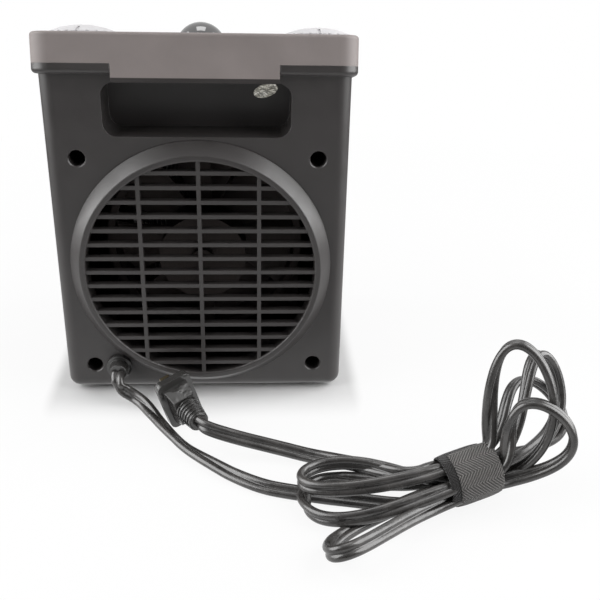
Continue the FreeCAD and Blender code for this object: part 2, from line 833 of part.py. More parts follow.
def fan_shroud():
    plate = block("shroud_plate", "-plate_width / 2", "duct_back", "intake_level - plate_height / 2",
                  "plate_width", "plate_thickness", "plate_height")
    collar = rod("shroud_collar", "shroud_radius + shroud_wall", "plate_thickness + shroud_length")
    bore = rod("shroud_bore", "shroud_radius", "2 * (plate_thickness + shroud_length)")
    facing_back(collar, 0, "duct_back", "intake_level")
    facing_back(bore, 0, "duct_back - plate_thickness", "intake_level")
    return cut("fan_shroud", join("shroud_solid", plate, collar), bore)


def motor_bracket():
    """A ring on the shroud with four arms and a hub that holds the front bearing."""
    outer = "shroud_radius + shroud_wall"
    rim = ring("bracket_rim", f"{outer} - bracket_ring", outer, "bracket_thickness")
    facing_back(rim, 0, "shroud_back", "intake_level")
    span = f"2 * ({outer}) - bracket_ring"
    arms = [block("bracket_beam", f"-({span}) / 2", "shroud_back", "intake_level - bracket_arm / 2",
                  span, "bracket_thickness", "bracket_arm"),
            block("bracket_post", "-bracket_arm / 2", "shroud_back", f"intake_level - ({span}) / 2",
                  "bracket_arm", "bracket_thickness", span)]
    hub = rod("bracket_disc", "bracket_hub", "bracket_thickness")
    facing_back(hub, 0, "shroud_back", "intake_level")
    bore = rod("bracket_bore", "bearing_radius", "3 * bracket_thickness")
    facing_back(bore, 0, "shroud_back - bracket_thickness", "intake_level")
    return cut("motor_bracket", join("bracket_solid", rim, *arms, hub), bore)


def motor_can():
    """A drawn cup, open towards the bracket, with the rear bearing in its boss."""
    boss = "bearing_radius + can_wall"
    tail = "can_length + bearing_length"
    can = turned("motor_can", [
        ("can_radius - can_wall", "0"), ("can_radius", "0"), ("can_radius", "can_length"),
        (boss, "can_length"), (boss, tail), ("0", tail), ("0", tail + " - can_wall"),
        ("bearing_radius", tail + " - can_wall"),
        ("bearing_radius", "can_length - can_wall"), ("can_radius - can_wall", "can_length - can_wall")])
    return facing_back(can, 0, "motor_face", "intake_level")


def motor_bearings():
    bearings = []
    for name, y in (("front_bearing", "shroud_back"), ("rear_bearing", "motor_back - can_wall")):
        bearing = ring(name, "shaft_radius + shaft_fit", "bearing_radius - thread_fit", "bearing_length")
        bearings.append(facing_back(bearing, 0, y, "intake_level"))
    return group("motor_bearings", bearings)


def motor_core(name, inner, outer):
    """Stator and rotor are stacks of the same length, level with each other."""
    stack = ring(name, inner, outer, "stator_length")
    return facing_back(stack, 0, "motor_face + (can_length - can_wall - stator_length) / 2", "intake_level")


def motor_shaft():
    tail = "motor_back + bearing_length - can_wall - shaft_tail"
    shaft = rod("motor_shaft", "shaft_radius", tail + " - impeller_front")
    return facing_back(shaft, 0, "impeller_front", "intake_level")


def fan_impeller():
    hub = ring("impeller_core", "shaft_radius + shaft_fit", "impeller_hub", "impeller_depth")
    facing_back(hub, 0, "impeller_front", "intake_level")
    thickness, foot, chord = mm("vane_thickness"), mm("vane_foot"), mm("vane_chord")
    root, tip = mm("impeller_hub - vane_root"), mm("impeller_radius + vane_root")
    corners = [(-foot / 2, root), (foot / 2, root), (chord / 2, tip), (-chord / 2, tip)]
    edge = [Vector(-thickness / 2, y, z) for y, z in corners + corners[:1]]
    blank = Part.Face(Part.makePolygon(edge)).extrude(SIDE * thickness)
    middle = Vector(0, mm("impeller_front + impeller_depth / 2"), mm("intake_level"))
    vanes = []
    total = count("vane_count")
    for n in range(total):
        turn = Rotation(DEPTH, 360 * n / total).multiply(Rotation(UP, mm("vane_pitch")))
        vanes.append(shaped(f"vane_{n + 1}", blank, Placement(middle, turn)))
    sweep = rod("impeller_sweep", "impeller_radius", "impeller_depth")
    facing_back(sweep, 0, "impeller_front", "intake_level")
    trimmed = shared("impeller_vanes", join("impeller_blanks", *vanes), sweep)
    return cut("fan_impeller", join("impeller_solid", hub, trimmed),
               facing_back(rod("impeller_bore", "shaft_radius + shaft_fit", "impeller_depth"),
                           0, "impeller_front", "intake_level"))


# Controls on the leaning panel
def knob_ball(name, inset):
    """The ball that bows the knob's face, or one a little smaller inside it."""
    ball = doc.addObject("Part::Sphere", name)
    bind(ball, {"Radius": f"knob_sphere - {inset}"})
    return put(ball, 0, 0, "knob_height - knob_sphere")


def control_knob(name, x):
    knob = turned(name + "_blank", [
        ("spindle_radius + shaft_fit", "knob_recess_depth"), ("knob_recess", "knob_recess_depth"),
        ("knob_recess", "0"), ("knob_radius", "0"), ("knob_top", "knob_height"),
        ("0", "knob_height"), ("0", "bore_top"),
        ("spindle_radius + shaft_fit", "bore_top")])
    flute = sketch_on(knob, "XY_Plane", name + "_flute")
    centre = "knob_radius + flute_radius - flute_depth"
    flute.addGeometry(Part.Circle(Vector(mm(centre), 0, 0), UP, mm("flute_radius")), False)
    flute.addConstraint(Sketcher.Constraint("PointOnObject", 0, 3, -1))
    row = flute.addConstraint(Sketcher.Constraint("DistanceX", -1, 1, 0, 3, mm(centre)))
    flute.setExpression(f"Constraints[{row}]", linked(centre))
    row = flute.addConstraint(Sketcher.Constraint("Radius", 0, mm("flute_radius")))
    flute.setExpression(f"Constraints[{row}]", linked("flute_radius"))
    whole = knob.Shape.Volume
    groove = knob.newObject("PartDesign::Pocket", name + "_groove")
    groove.Profile = flute
    groove.Reversed = True
    bind(groove, {"Length": "2 * knob_height"})
    doc.recompute()
    grip = knob.newObject("PartDesign::PolarPattern", name + "_grip")
    grip.Originals = [groove]
    grip.Axis = (flute, ["N_Axis"])
    grip.Angle = 360
    bind(grip, {"Occurrences": "flute_count"})
    knob.Tip = grip
    doc.recompute()
    print(name, "flutes take away", round(whole - knob.Shape.Volume, 1), "cubic mm")
    bowed = shared(name + "_bowed", knob, knob_ball(name + "_face", "0"))
    line = block(name + "_line", "-pointer_width / 2", "knob_top - pointer_length",
                 "knob_height - knob_bow", "pointer_width", "2 * pointer_length", "knob_height")
    pointer = cut(name + "_pointer", line, knob_ball(name + "_floor", "pointer_depth"))
    return on_panel(cut(name, bowed, pointer), x, "-control_setback", "knob_base")


def control_spindle(name, x):
    spindle = rod(name, "spindle_radius", "knob_base + bore_top - panel_under + spindle_depth")
    return on_panel(spindle, x, "-control_setback", "panel_under - spindle_depth")


def control_body(name, x):
    case = block(name + "_case", "-control_width / 2", "-control_width / 2", "control_base",
                 "control_width", "control_width", "control_height")
    neck = rod(name + "_neck", "neck_radius", "neck_top - panel_under + wall")
    put(neck, 0, 0, "panel_under - wall")
    bore = rod(name + "_bore", "spindle_radius + shaft_fit", "control_height + neck_top")
    put(bore, 0, 0, "panel_under - spindle_depth")
    return on_panel(cut(name, join(name + "_solid", case, neck), bore), x, "-control_setback", 0)


def control_nuts():
    nuts = []
    for n, x in enumerate(("-control_spread", "control_spread"), start=1):
        blank = doc.addObject("Part::Prism", f"nut_blank_{n}")
        blank.Polygon = 6
        bind(blank, {"Circumradius": "nut_radius", "Height": "nut_height"})
        bore = put(rod(f"nut_bore_{n}", "neck_radius + thread_fit", "3 * nut_height"), 0, 0, "-nut_height")
        nuts.append(on_panel(cut(f"nut_{n}", blank, bore), x, "-control_setback", "panel_top"))
    return group("control_nuts", nuts)


def pilot_lens():
    dome = doc.addObject("Part::Sphere", "lens_dome")
    bind(dome, {"Radius": "dome_radius", "Angle1": "asin((dome_radius - dome_rise) / dome_radius)"})
    put(dome, 0, 0, "dome_rise - dome_radius")
    stem = put(rod("lens_stem", "stem_radius", "stem_length + lamp_cover"), 0, 0, "-stem_length")
    bore = rod("lens_bore", "lamp_radius + fit_clearance", "stem_length + lamp_cover")
    put(bore, 0, 0, "-stem_length")
    lens = cut("pilot_lens", join("lens_solid", dome, stem), bore)
    return on_panel(lens, 0, "-control_setback", "panel_top")


def pilot_lamp():
    lamp = rod("pilot_lamp", "lamp_radius", "lamp_length")
    return on_panel(lamp, 0, "-control_setback", "panel_top + lamp_cover - lamp_length")


# Safety switches
def thermal_cutout():
    return block("thermal_cutout", "-cutout_width / 2", "duct_back - cutout_margin - cutout_length",
                 "duct_top", "cutout_width", "cutout_length", "cutout_height")


def tip_switch():
    case = block("tip_case", "-tip_side - tip_width / 2", "tip_face - tip_width / 2", "floor_top",
                 "tip_width", "tip_width", "tip_height")
    bore = rod("tip_bore", "plunger_radius + fit_clearance", "catch_base + wall")
    put(bore, "-tip_side", "tip_face", "floor_top - wall")
    room = "catch_thickness + plunger_travel + 2 * fit_clearance"
    space = rod("tip_space", "catch_radius + fit_clearance", room)
    put(space, "-tip_side", "tip_face", "floor_top + catch_base")
    return cut("tip_switch", case, bore, space)


def tip_plunger():
    catch = "floor_top + catch_base + fit_clearance + plunger_travel - plunger_rest"
    top = catch + " + catch_thickness"
    plunger = turned("tip_plunger", [
        ("0", "0"), ("plunger_radius - foot_edge", "0"), ("plunger_radius", "foot_edge"),
        ("plunger_radius", catch), ("catch_radius", catch), ("catch_radius", top), ("0", top)])
    return put(plunger, "-tip_side", "tip_face", "plunger_rest")


# Cord routes: straight runs joined by arcs as large as the runs allow
RUN_SHARE = 0.45


def arc_between(start, end, heading):
    """The edge from start to end that leaves along heading: an arc, or a line where it is straight."""
    chord = end - start
    middle = (start + end) * 0.5
    ahead = heading * (1 / heading.Length)
    angle = ahead.getAngle(chord)
    if angle < SAME:
        return Part.LineSegment(start, end).toShape()
    direction = chord * (1 / chord.Length)
    bulge = ahead - direction * ahead.dot(direction)
    bulge.normalize()
    return Part.Arc(start, middle + bulge * (chord.Length / 2 * math.tan(angle / 2)), end).toShape()


def rounded_path(points):
    """Edges of a route, and the radii of its bends."""
    edges, radii = [], []
    at = points[0]
    for before, here, after in zip(points[:-2], points[1:-1], points[2:]):
        arriving, leaving = here - before, after - here
        trim = RUN_SHARE * min(arriving.Length, leaving.Length)
        radii.append(trim / math.tan(arriving.getAngle(leaving) / 2))
        start = here - arriving * (trim / arriving.Length)
        end = here + leaving * (trim / leaving.Length)
        edges += [Part.LineSegment(at, start).toShape(), arc_between(start, end, arriving)]
        at = end
    edges.append(Part.LineSegment(at, points[-1]).toShape())
    return edges, radii


def swept(name, edges, diameter):
    """A round tube along edges, with its volume held against section times length."""
    path = Part.Wire(edges)
    first = edges[0]
    heading = first.tangentAt(first.FirstParameter)
    section = Part.Wire(Part.makeCircle(diameter / 2, first.valueAt(first.FirstParameter), heading))
    solid = path.makePipeShell([section], True, False)
    expected = math.pi * diameter ** 2 / 4 * path.Length
    print(f"{name}: length {path.Length:.1f}, volume {solid.Volume / expected:.4f} of section times length")
    return solid


def tube(name, points, diameter):
    edges, radii = rounded_path(points)
    print(name, "radii", [round(radius, 1) for radius in radii])
    return shaped(name, swept(name, edges, diameter))


# The hank: seven lobes, drawn in at the strap, each from its reach, width and lean
WAIST = Vector(-mm("waist_side"), mm("back_face + waist_back"), mm("waist_rise"))
BUNDLE_TURN = 196
BUNDLE_RISE = 10
LOBE_FULLNESS = 1.3
SLOTS = {
    "middle low": (0, -9.4), "middle top": (0, 9.4), "inner low": (0, -3.1), "inner top": (0, 3.1),
    "front low": (9.4, -4), "front top": (9.4, 4), "back low": (-9.4, -4), "back top": (-9.4, 4)}
# from, to, side of the strap, reach, width, lift, swing, roll
LOBES = [
    ("middle low", "middle top", 1, 80, -44, 64, 6, 0),
    ("middle top", "inner top", -1, 84, 20, 5.5, -31, 90),
    ("inner top", "inner low", 1, 70, 28, 52, -19, 0),
    ("inner low", "front low", -1, 80, -22, 4.6, 17, 90),
    ("front low", "front top", 1, 50, -46, 30, 10, 0),
    ("front top", "back low", -1, 76, 30, 5, -10, 90),
    ("back low", "back top", 1, 62, -34, 34, -22, 0)]
SPANS = 10
NEARBY = 25
STEP = 1.5

turn, rise = math.radians(BUNDLE_TURN), math.radians(BUNDLE_RISE)
ALONG = Vector(math.cos(turn) * math.cos(rise), math.sin(turn) * math.cos(rise), math.sin(rise))
ACROSS = Vector(math.sin(turn), -math.cos(turn), 0)
OUT = ACROSS.cross(ALONG)


def in_bundle(u, v, w):
    return WAIST + ALONG * u + ACROSS * v + OUT * w


def lobe_point(lobe, phase):
    """A point of one lobe, from phase 0 at its first pass to pi at its second."""
    start, end, side, reach, width, lift, swing, roll = lobe
    lift, swing, roll = (math.radians(angle) for angle in (lift, swing, roll))
    s, c = math.sin(phase), math.cos(phase)
    blend = (1 - c) / 2
    v, w = (a + (b - a) * blend for a, b in zip(SLOTS[start], SLOTS[end]))
    level = Vector(-math.sin(swing), math.cos(swing), 0)
    steep = Vector(-math.sin(lift) * math.cos(swing), -math.sin(lift) * math.sin(swing), math.cos(lift))
    belly = (steep * math.cos(roll) + level * math.sin(roll)) * (LOBE_FULLNESS * width * c * s * s)
    u = side * (mm("hank_half") + reach * math.cos(lift) * math.cos(swing) * s + belly.x)
    v += reach * math.cos(lift) * math.sin(swing) * s * s + belly.y
    w += reach * math.sin(lift) * s * s + belly.z
    return in_bundle(u, v, w)


def lobe_heading(lobe, phase):
    step = 1e-4
    return (lobe_point(lobe, phase + step) - lobe_point(lobe, phase - step)).normalize()


def biarc(start, start_heading, end, end_heading):
    """Two arcs that meet smoothly and keep both headings."""
    way = end - start
    both = start_heading + end_heading
    spread = 2 * (1 - start_heading.dot(end_heading))
    if spread < SAME:
        reach = way.dot(way) / (4 * way.dot(end_heading))
    else:
        reach = (math.sqrt(way.dot(both) ** 2 + spread * way.dot(way)) - way.dot(both)) / spread
    knee = (start + start_heading * reach + end - end_heading * reach) * 0.5
    first = arc_between(start, knee, start_heading)
    second = arc_between(end, knee, -end_heading)
    second.reverse()
    middle = second.valueAt((second.FirstParameter + second.LastParameter) / 2)
    return [first, Part.Arc(knee, middle, end).toShape()]


def slot_end(slot):
    """Where the hank's tube ends, one diameter clear of the strap, in one of its slots."""
    v, w = SLOTS[slot]
    return in_bundle(-mm("hank_half + cord_thickness"), v, w)


def hank_edges():
    edges = []
    at = slot_end(LOBES[0][0])
    for lobe in LOBES:
        start = lobe_point(lobe, 0)
        edges.append(Part.LineSegment(at, start).toShape())
        for n in range(SPANS):
            phases = math.pi * n / SPANS, math.pi * (n + 1) / SPANS
            (start, end), (leaving, arriving) = ([make(lobe, phase) for phase in phases]
                                                 for make in (lobe_point, lobe_heading))
            edges += biarc(start, leaving, end, arriving)
        at = end
    edges.append(Part.LineSegment(at, slot_end(LOBES[-1][1])).toShape())
    return edges


def least_gap(edges, diameter):
    """The least clear distance of a tube to itself, measured on points along it."""
    points = []
    for edge in edges:
        points += edge.discretize(Number=max(2, int(edge.Length / STEP) + 1))[:-1]
    apart = int(NEARBY / STEP)
    gaps = ((one - other).Length for i, one in enumerate(points) for other in points[i + apart:])
    return min(gaps) - diameter


def cord_hank():
    diameter = mm("cord_thickness")
    edges = hank_edges()
    radii = [edge.Curve.Radius for edge in edges if hasattr(edge.Curve, "Radius")]
    print(f"cord_hank: tightest bend {min(radii):.1f}, least gap to itself {least_gap(edges, diameter):.2f}")
    return shaped("cord_hank", swept("cord_hank", edges, diameter))


def cord_strap():
    band = ring("cord_strap", "bundle_radius", "bundle_radius + strap_thickness", "strap_width")
    frame = Matrix(OUT.x, ACROSS.x, ALONG.x, 0, OUT.y, ACROSS.y, ALONG.y, 0,
                   OUT.z, ACROSS.z, ALONG.z, 0, 0, 0, 0, 1)
    base = in_bundle(-mm("strap_width / 2"), 0, 0)
    band.Placement = Placement(base, Placement(frame).Rotation)
    return band


def plug_frame():
    """Lies on one corner of its plate: Y runs from the blades to the cord, Z along the plate."""
    lean = Rotation(UP, mm("plug_yaw")).multiply(Rotation(DEPTH, mm("plug_roll")))
    return Placement(Vector(mm("plug_x"), mm("back_face + plug_back"), mm("plug_level")), lean)


def plug_body():
    plate = block("plug_plate_block", "-plug_plate_short / 2", 0, "-plug_plate_long / 2",
                  "plug_plate_short", "plug_plate_depth", "plug_plate_long")
    plate = rounded("plug_plate", plate, "plug_corner", along(DEPTH))
    grip = frustum("plug_grip_block", "plug_plate_depth / 2", "plug_plate_depth + plug_grip_depth",
                   "-plug_grip_long / 2", "plug_grip_long / 2", "plug_grip_short / 2", "plug_waist_short / 2",
                   "-plug_waist_long / 2", "plug_waist_long / 2")
    start = "plug_plate_depth + plug_grip_depth"
    relief = doc.addObject("Part::Cone", "plug_relief")
    bind(relief, {"Radius1": "relief_radius", "Radius2": "relief_tip", "Height": "relief_length"})
    facing_back(relief, 0, start, 0)
    ribs = []
    total = count("rib_count")
    for n in range(total):
        share = f"({n} + 0.5) / {total}"
        radius = f"relief_radius + (relief_tip - relief_radius) * {share} + rib_height"
        rib = rod(f"plug_rib_{n + 1}", radius, "rib_width")
        ribs.append(facing_back(rib, 0, f"{start} + relief_length * {share} - rib_width / 2", 0))
    body = join("plug_body", plate, grip, relief, *ribs)
    body.Placement = plug_frame()
    return body


def plug_blades():
    blades = []
    for n, side in enumerate((-1, 1), start=1):
        blades.append(block(f"blade_{n}", "-prong_width / 2", "-prong_length",
                            f"{side} * prong_spacing / 2 - prong_thickness / 2",
                            "prong_width", "prong_length", "prong_thickness"))
    pair = group("plug_blades", blades)
    pair.Placement = plug_frame()
    return pair


# Where the cord lies on the floor behind the housing: first from the bushing, then from the plug
LEAD_START = 5.5
LEAD = [
    (52.9, 18.2, 16.6), (48.0, 19.6, 12.9), (42.2, 20.8, 9.2), (36.0, 25.2, 5.9), (28.1, 37.4, 3.6),
    (18.6, 52.9, 2.5), (-1.6, 76.6, 2.45), (-24.1, 97.9, 2.45), (-49.6, 112.6, 2.45), (-72.4, 118.9, 2.45),
    (-92, 122.6, 2.45), (-109, 126, 2.5)]
LEAD_END = 10.5
TAIL_START = 4.6
TAIL = [
    (-6.8, 73.2, 17.0), (-13.2, 75.0, 14.5), (-24.5, 77.0, 10.1), (-37.4, 79.4, 6.6), (-50.7, 83.3, 4.6),
    (-64, 88.2, 4.0), (-77.5, 93.6, 6.0), (-90.5, 101.2, 9.8), (-100.5, 108.6, 13.2), (-106.3, 112.4, 14.6),
    (-111.6, 115.2, 15.4), (-117.3, 116.8, 16.1)]
TAIL_END = 6


def behind(points):
    """Floor points, which count from the housing's back face."""
    return [Vector(x, mm("back_face") + y, z) for x, y, z in points]


def cord_lead():
    tip = mm("back_face + bushing_flange_depth + bushing_nose_depth")
    start = Vector(mm("bushing_side"), tip, mm("bushing_level"))
    end = slot_end(LOBES[0][0])
    points = [start, start + DEPTH * LEAD_START, *behind(LEAD), end - ALONG * LEAD_END, end]
    return tube("cord_lead", points, mm("cord_thickness"))


def cord_tail():
    frame = plug_frame()
    start = frame.multVec(DEPTH * mm("plug_plate_depth + plug_grip_depth + relief_length"))
    heading = frame.Rotation.multVec(DEPTH)
    end = slot_end(LOBES[-1][1])
    points = [start, start + heading * TAIL_START, *behind(TAIL), end - ALONG * TAIL_END, end]
    return tube("cord_tail", points, mm("cord_thickness"))


def panel_point(x, ahead, up):
    """A point in the cap's frame: ahead of the cap's back edge, and up from its seam."""
    lean = Rotation(SIDE, mm("panel_slope"))
    return Vector(mm(x), mm("cap_back"), mm("seam_height")) + lean.multVec(Vector(0, -mm(ahead), mm(up)))


def inner_wires():
    """Supply from the bushing to the selector, on to the thermostat, and down to the element's lugs."""
    run = mm("wire_run")
    under = "control_base - shaft_fit"
    inside = mm("back_face - wall - bushing_catch_depth - shaft_fit")
    back = Vector(mm("bushing_side"), inside, mm("bushing_level"))
    lane = [Vector(mm("lane_side"), mm("lane_face"), mm(level))
            for level in ("bushing_level + wire_rise", "seam_height - wire_drop")]
    feed = [panel_point("control_spread", "control_setback", up) for up in (under + " - wire_run", under)]
    routes = {"supply_wire": [back, back - DEPTH * run, *lane, *feed]}

    beside = "control_spread - control_width / 2 - shaft_fit"
    shelf = "control_base + wire_diameter"
    stops = [(beside, shelf), (beside + " - wire_run", shelf), (f"({beside}) / 2", shelf + " - wire_slack")]
    near = [panel_point(x, "control_setback", up) for x, up in stops]
    far = [Vector(-point.x, point.y, point.z) for point in reversed(near)]
    routes["bridge_wire"] = near + far

    lug = Vector(mm("lug_side"), mm("element_front + element_depth / 2"),
                 mm("intake_level + element_height / 2 + lug_height + shaft_fit"))
    drop = [panel_point("control_spread - wire_step", "control_setback + wire_step", up)
            for up in (under, under + " - wire_run")]
    outlet = [*drop, lug + UP * run, lug]
    routes["selector_wire"] = outlet
    routes["thermostat_wire"] = [Vector(-point.x, point.y, point.z) for point in outlet]
    return group("inner_wires", [tube(name, points, mm("wire_diameter")) for name, points in routes.items()])


shell = housing_shell()
NODES = [
    rear_housing(shell), front_housing(shell), top_cap(), rear_grille(), front_grille(), front_bezel(),
    rubber_feet(), housing_screws(), cord_bushing(), recess_foil(), air_duct(), element_frame(),
    ceramic_bars(), fin_packs(),
    element_lugs(), fan_shroud(), motor_bracket(), motor_can(), motor_bearings(),
    motor_core("stator_core", "stator_bore", "can_radius - can_wall - thread_fit"),
    motor_core("motor_rotor", "shaft_radius + shaft_fit", "rotor_radius"), motor_shaft(), fan_impeller(),
    control_knob("thermostat_knob", "-control_spread"), control_knob("selector_knob", "control_spread"),
    control_spindle("thermostat_spindle", "-control_spread"),
    control_spindle("selector_spindle", "control_spread"),
    control_body("thermostat_body", "-control_spread"), control_body("selector_body", "control_spread"),
    control_nuts(), pilot_lens(), pilot_lamp(), thermal_cutout(), tip_switch(), tip_plunger(), inner_wires(),
    cord_lead(), cord_hank(), cord_tail(), cord_strap(), plug_body(), plug_blades()]

doc.recompute()
for piece in doc.Objects:
    if "Invalid" in piece.State or "Error" in piece.State:
        raise RuntimeError(f"{piece.Name} failed: {piece.State}")
for node in NODES:
    node.Label = node.Name
    if node.Shape.isNull() or not node.Shape.isValid() or not node.Shape.Solids:
        raise RuntimeError(f"{node.Label} has no sound solid")

os.makedirs("parts", exist_ok=True)
for node in NODES:
    solids = node.Shape.Solids
    shape = solids[0] if len(solids) == 1 else Part.makeCompound(solids)
    shape.exportStep(f"parts/{node.Label}.step")
    print(f"{node.Label}: {len(solids)} solid(s), {shape.Volume / 1000:.2f} cubic cm")
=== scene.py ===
# %% [markdown]
# # A small ceramic heater, seen from behind
# The heater's hard pieces arrive as exact solids in one shared frame, in metres: housing, grilles, knobs and
# motor. What is left for Blender is the flat cord, the strap round its hank, and the finish of every surface.
# The solids could be modelled again here, but then two sets of sizes would have to be kept in step.

# %% Load the hard pieces
import json
import math

import bpy
import numpy as np
from mathutils import Matrix, Vector


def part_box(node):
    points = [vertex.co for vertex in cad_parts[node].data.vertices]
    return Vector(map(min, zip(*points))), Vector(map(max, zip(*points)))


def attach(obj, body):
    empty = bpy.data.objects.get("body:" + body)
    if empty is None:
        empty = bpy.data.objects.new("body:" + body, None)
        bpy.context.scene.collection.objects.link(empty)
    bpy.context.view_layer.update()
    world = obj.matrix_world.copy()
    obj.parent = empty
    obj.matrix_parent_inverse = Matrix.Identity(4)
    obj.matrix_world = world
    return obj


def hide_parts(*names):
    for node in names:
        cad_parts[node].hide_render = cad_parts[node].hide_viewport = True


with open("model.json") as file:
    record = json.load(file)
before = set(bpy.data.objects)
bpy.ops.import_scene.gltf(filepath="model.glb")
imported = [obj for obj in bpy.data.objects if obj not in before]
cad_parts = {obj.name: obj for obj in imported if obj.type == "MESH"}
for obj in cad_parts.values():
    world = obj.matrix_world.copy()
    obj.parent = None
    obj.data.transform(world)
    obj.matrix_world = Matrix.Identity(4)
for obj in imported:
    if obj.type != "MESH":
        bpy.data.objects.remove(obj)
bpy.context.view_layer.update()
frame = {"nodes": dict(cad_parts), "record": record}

scene = bpy.context.scene
scene.view_settings.view_transform = "Standard"


# %% [markdown]
# ## The camera
# A photograph is only repeated from the place where it was taken.
# The lens could be matched by eye, but straight edges of known length give it: here the box, the ring and
# the screw wells. The camera stands behind the heater, looks down at it and leans by about one degree.
# Turn, dip and lean become three axes, because axes are easier to check than a rotation written as angles.

# %% Camera
EYE = Vector((-0.0312, 0.5749, 0.3030))
TURN, DIP, LEAN = (math.radians(angle) for angle in (3.5, 25.2, 1.27))
LENS_MM = 52.18
SENSOR_MM = 36.0

level_right = Vector((-math.cos(TURN), math.sin(TURN), 0))
look = Vector((-math.sin(TURN) * math.cos(DIP), -math.cos(TURN) * math.cos(DIP), -math.sin(DIP)))
level_up = level_right.cross(look)
right = level_right * math.cos(LEAN) + level_up * math.sin(LEAN)
up = level_up * math.cos(LEAN) - level_right * math.sin(LEAN)


def add_object(name, data):
    made = bpy.data.objects.new(name, data)
    scene.collection.objects.link(made)
    return made


camera = add_object("photo_camera", bpy.data.cameras.new("photo_camera"))
camera.data.lens = LENS_MM
camera.data.sensor_width = SENSOR_MM
camera.matrix_world = Matrix.Translation(EYE) @ Matrix((right, up, -look)).transposed().to_4x4()
scene.camera = camera
print("camera looks along", tuple(round(x, 3) for x in look))


# %% [markdown]
# ## The line of the cord
# The cord is one length of flat twin lead: it leaves the bushing, lies on the floor, is folded into a hank
# and comes back to the plug.
# A line of straight runs with rounded corners would look like bent wire. A spline of order 3 never has a
# corner: it is pulled towards its points and bends evenly between them, much as soft vinyl does.
# The first part goes down from the bushing to the floor and along it to the hank.

# %% Points from the bushing to the hank
LEAD = [
    (0.0552, 0.0825, 0.0194), (0.0552, 0.0874, 0.0176), (0.0540, 0.0890, 0.0136),
    (0.0505, 0.0892, 0.0100), (0.0444, 0.0906, 0.0068), (0.0380, 0.0962, 0.0050),
    (0.0305, 0.1083, 0.0036), (0.0228, 0.1216, 0.0032), (0.0163, 0.1320, 0.0032),
    (0.0084, 0.1437, 0.0032), (-0.0015, 0.1536, 0.0032), (-0.0111, 0.1626, 0.0034),
    (-0.0196, 0.1707, 0.0035), (-0.0361, 0.1819, 0.0035), (-0.0500, 0.1867, 0.0035),
    (-0.0724, 0.1919, 0.0032), (-0.0920, 0.1956, 0.0027), (-0.1090, 0.1990, 0.0025)]


# %% [markdown]
# The hank hangs together at the strap, where eight passes of the cord lie side by side.
# Its seven loops could be traced one by one, but a loose loop has a simple form: it runs out, swells and
# comes back. Each one is written as its reach, its lift and swing, and how far it swells upwards and sways
# sideways: the first number opens the loop, the second moves the whole of it, so that one leg can stay
# straight while the other one bulges.
# The strap has its own axes: along the bundle, across it, and out of the floor.

# %% Points of the seven loops
WAIST = Vector((-0.149, 0.192, 0.017))
BUNDLE_TURN, BUNDLE_RISE = math.radians(196), math.radians(10)
STRAP_HALF = 0.013
CLEAR_OF_STRAP = 0.0176
FULLNESS = 1.3
LOOP_POINTS = 14
SLOTS = {
    "middle low": (0, -0.0094), "middle top": (0, 0.0094),
    "inner low": (0, -0.0031), "inner top": (0, 0.0031),
    "front low": (0.0094, -0.004), "front top": (0.0094, 0.004),
    "back low": (-0.0094, -0.004), "back top": (-0.0094, 0.004)}
# first pass, second pass, side of the strap, reach, lift, swing, (swell, shift), (sway, shift)
LOOPS = [
    ("middle low", "middle top", 1, 0.0385, 38.5, 84, (-0.0413, 0.0335), (-0.0115, -0.0255)),
    ("middle top", "inner top", -1, 0.0662, 18.6, -55, (0.0026, -0.0144), (0.0320, 0.0287)),
    ("inner top", "inner low", 1, 0.0673, 23.6, -13, (0.0319, 0.0094), (-0.0084, -0.0080)),
    ("inner low", "front low", -1, 0.0833, 8.1, 19, (-0.0114, 0.0015), (-0.0170, -0.0012)),
    ("front low", "front top", 1, 0.0470, 53.5, 22, (-0.0335, -0.0039), (0.0084, -0.0057)),
    ("front top", "back low", -1, 0.0781, 2.5, -27, (0.0019, -0.0012), (0.0310, 0.0091)),
    ("back low", "back top", 1, 0.0553, 31, -10, (-0.0305, -0.0106), (0.0208, -0.0043))]

ALONG = Vector((math.cos(BUNDLE_TURN) * math.cos(BUNDLE_RISE),
                math.sin(BUNDLE_TURN) * math.cos(BUNDLE_RISE), math.sin(BUNDLE_RISE)))
ACROSS = Vector((math.sin(BUNDLE_TURN), -math.cos(BUNDLE_TURN), 0))
OUT = ACROSS.cross(ALONG)


def in_bundle(along, across, out):
    return WAIST + ALONG * along + ACROSS * across + OUT * out


def loop_point(loop, phase):
    """A point of a loop, from phase 0 at its first pass through the strap to pi at its second."""
    first, second, side, reach, lift, swing, swell, sway = loop
    lift, swing = math.radians(lift), math.radians(swing)
    s, c = math.sin(phase), math.cos(phase)
    across, out = (a + (b - a) * (1 - c) / 2 for a, b in zip(SLOTS[first], SLOTS[second]))
    level = Vector((-math.sin(swing), math.cos(swing), 0))
    steep = Vector((-math.sin(lift) * math.cos(swing), -math.sin(lift) * math.sin(swing), math.cos(lift)))
    belly = steep * (swell[0] * c + swell[1]) + level * (sway[0] * c + sway[1])
    belly *= FULLNESS * s * s
    along = side * (STRAP_HALF + reach * math.cos(lift) * math.cos(swing) * s + belly.x)
    across += reach * math.cos(lift) * math.sin(swing) * s * s + belly.y
    out += reach * math.sin(lift) * s * s + belly.z
    return in_bundle(along, across, out)


hank = [loop_point(loop, math.pi * n / LOOP_POINTS) for loop in LOOPS for n in range(LOOP_POINTS + 1)]
print("hank:", len(LOOPS), "loops,", len(hank), "points")


# %% [markdown]
# The last part is written from the plug back to the hank, because the plug's place is known.
# It leaves the plug's relief in a straight line, comes down to the floor and rises over the first loop.
# All parts then become one spline, and the spline is read back as a fine chain of points.
# Its order and its held ends are set after the points, since a spline with too few points drops them.

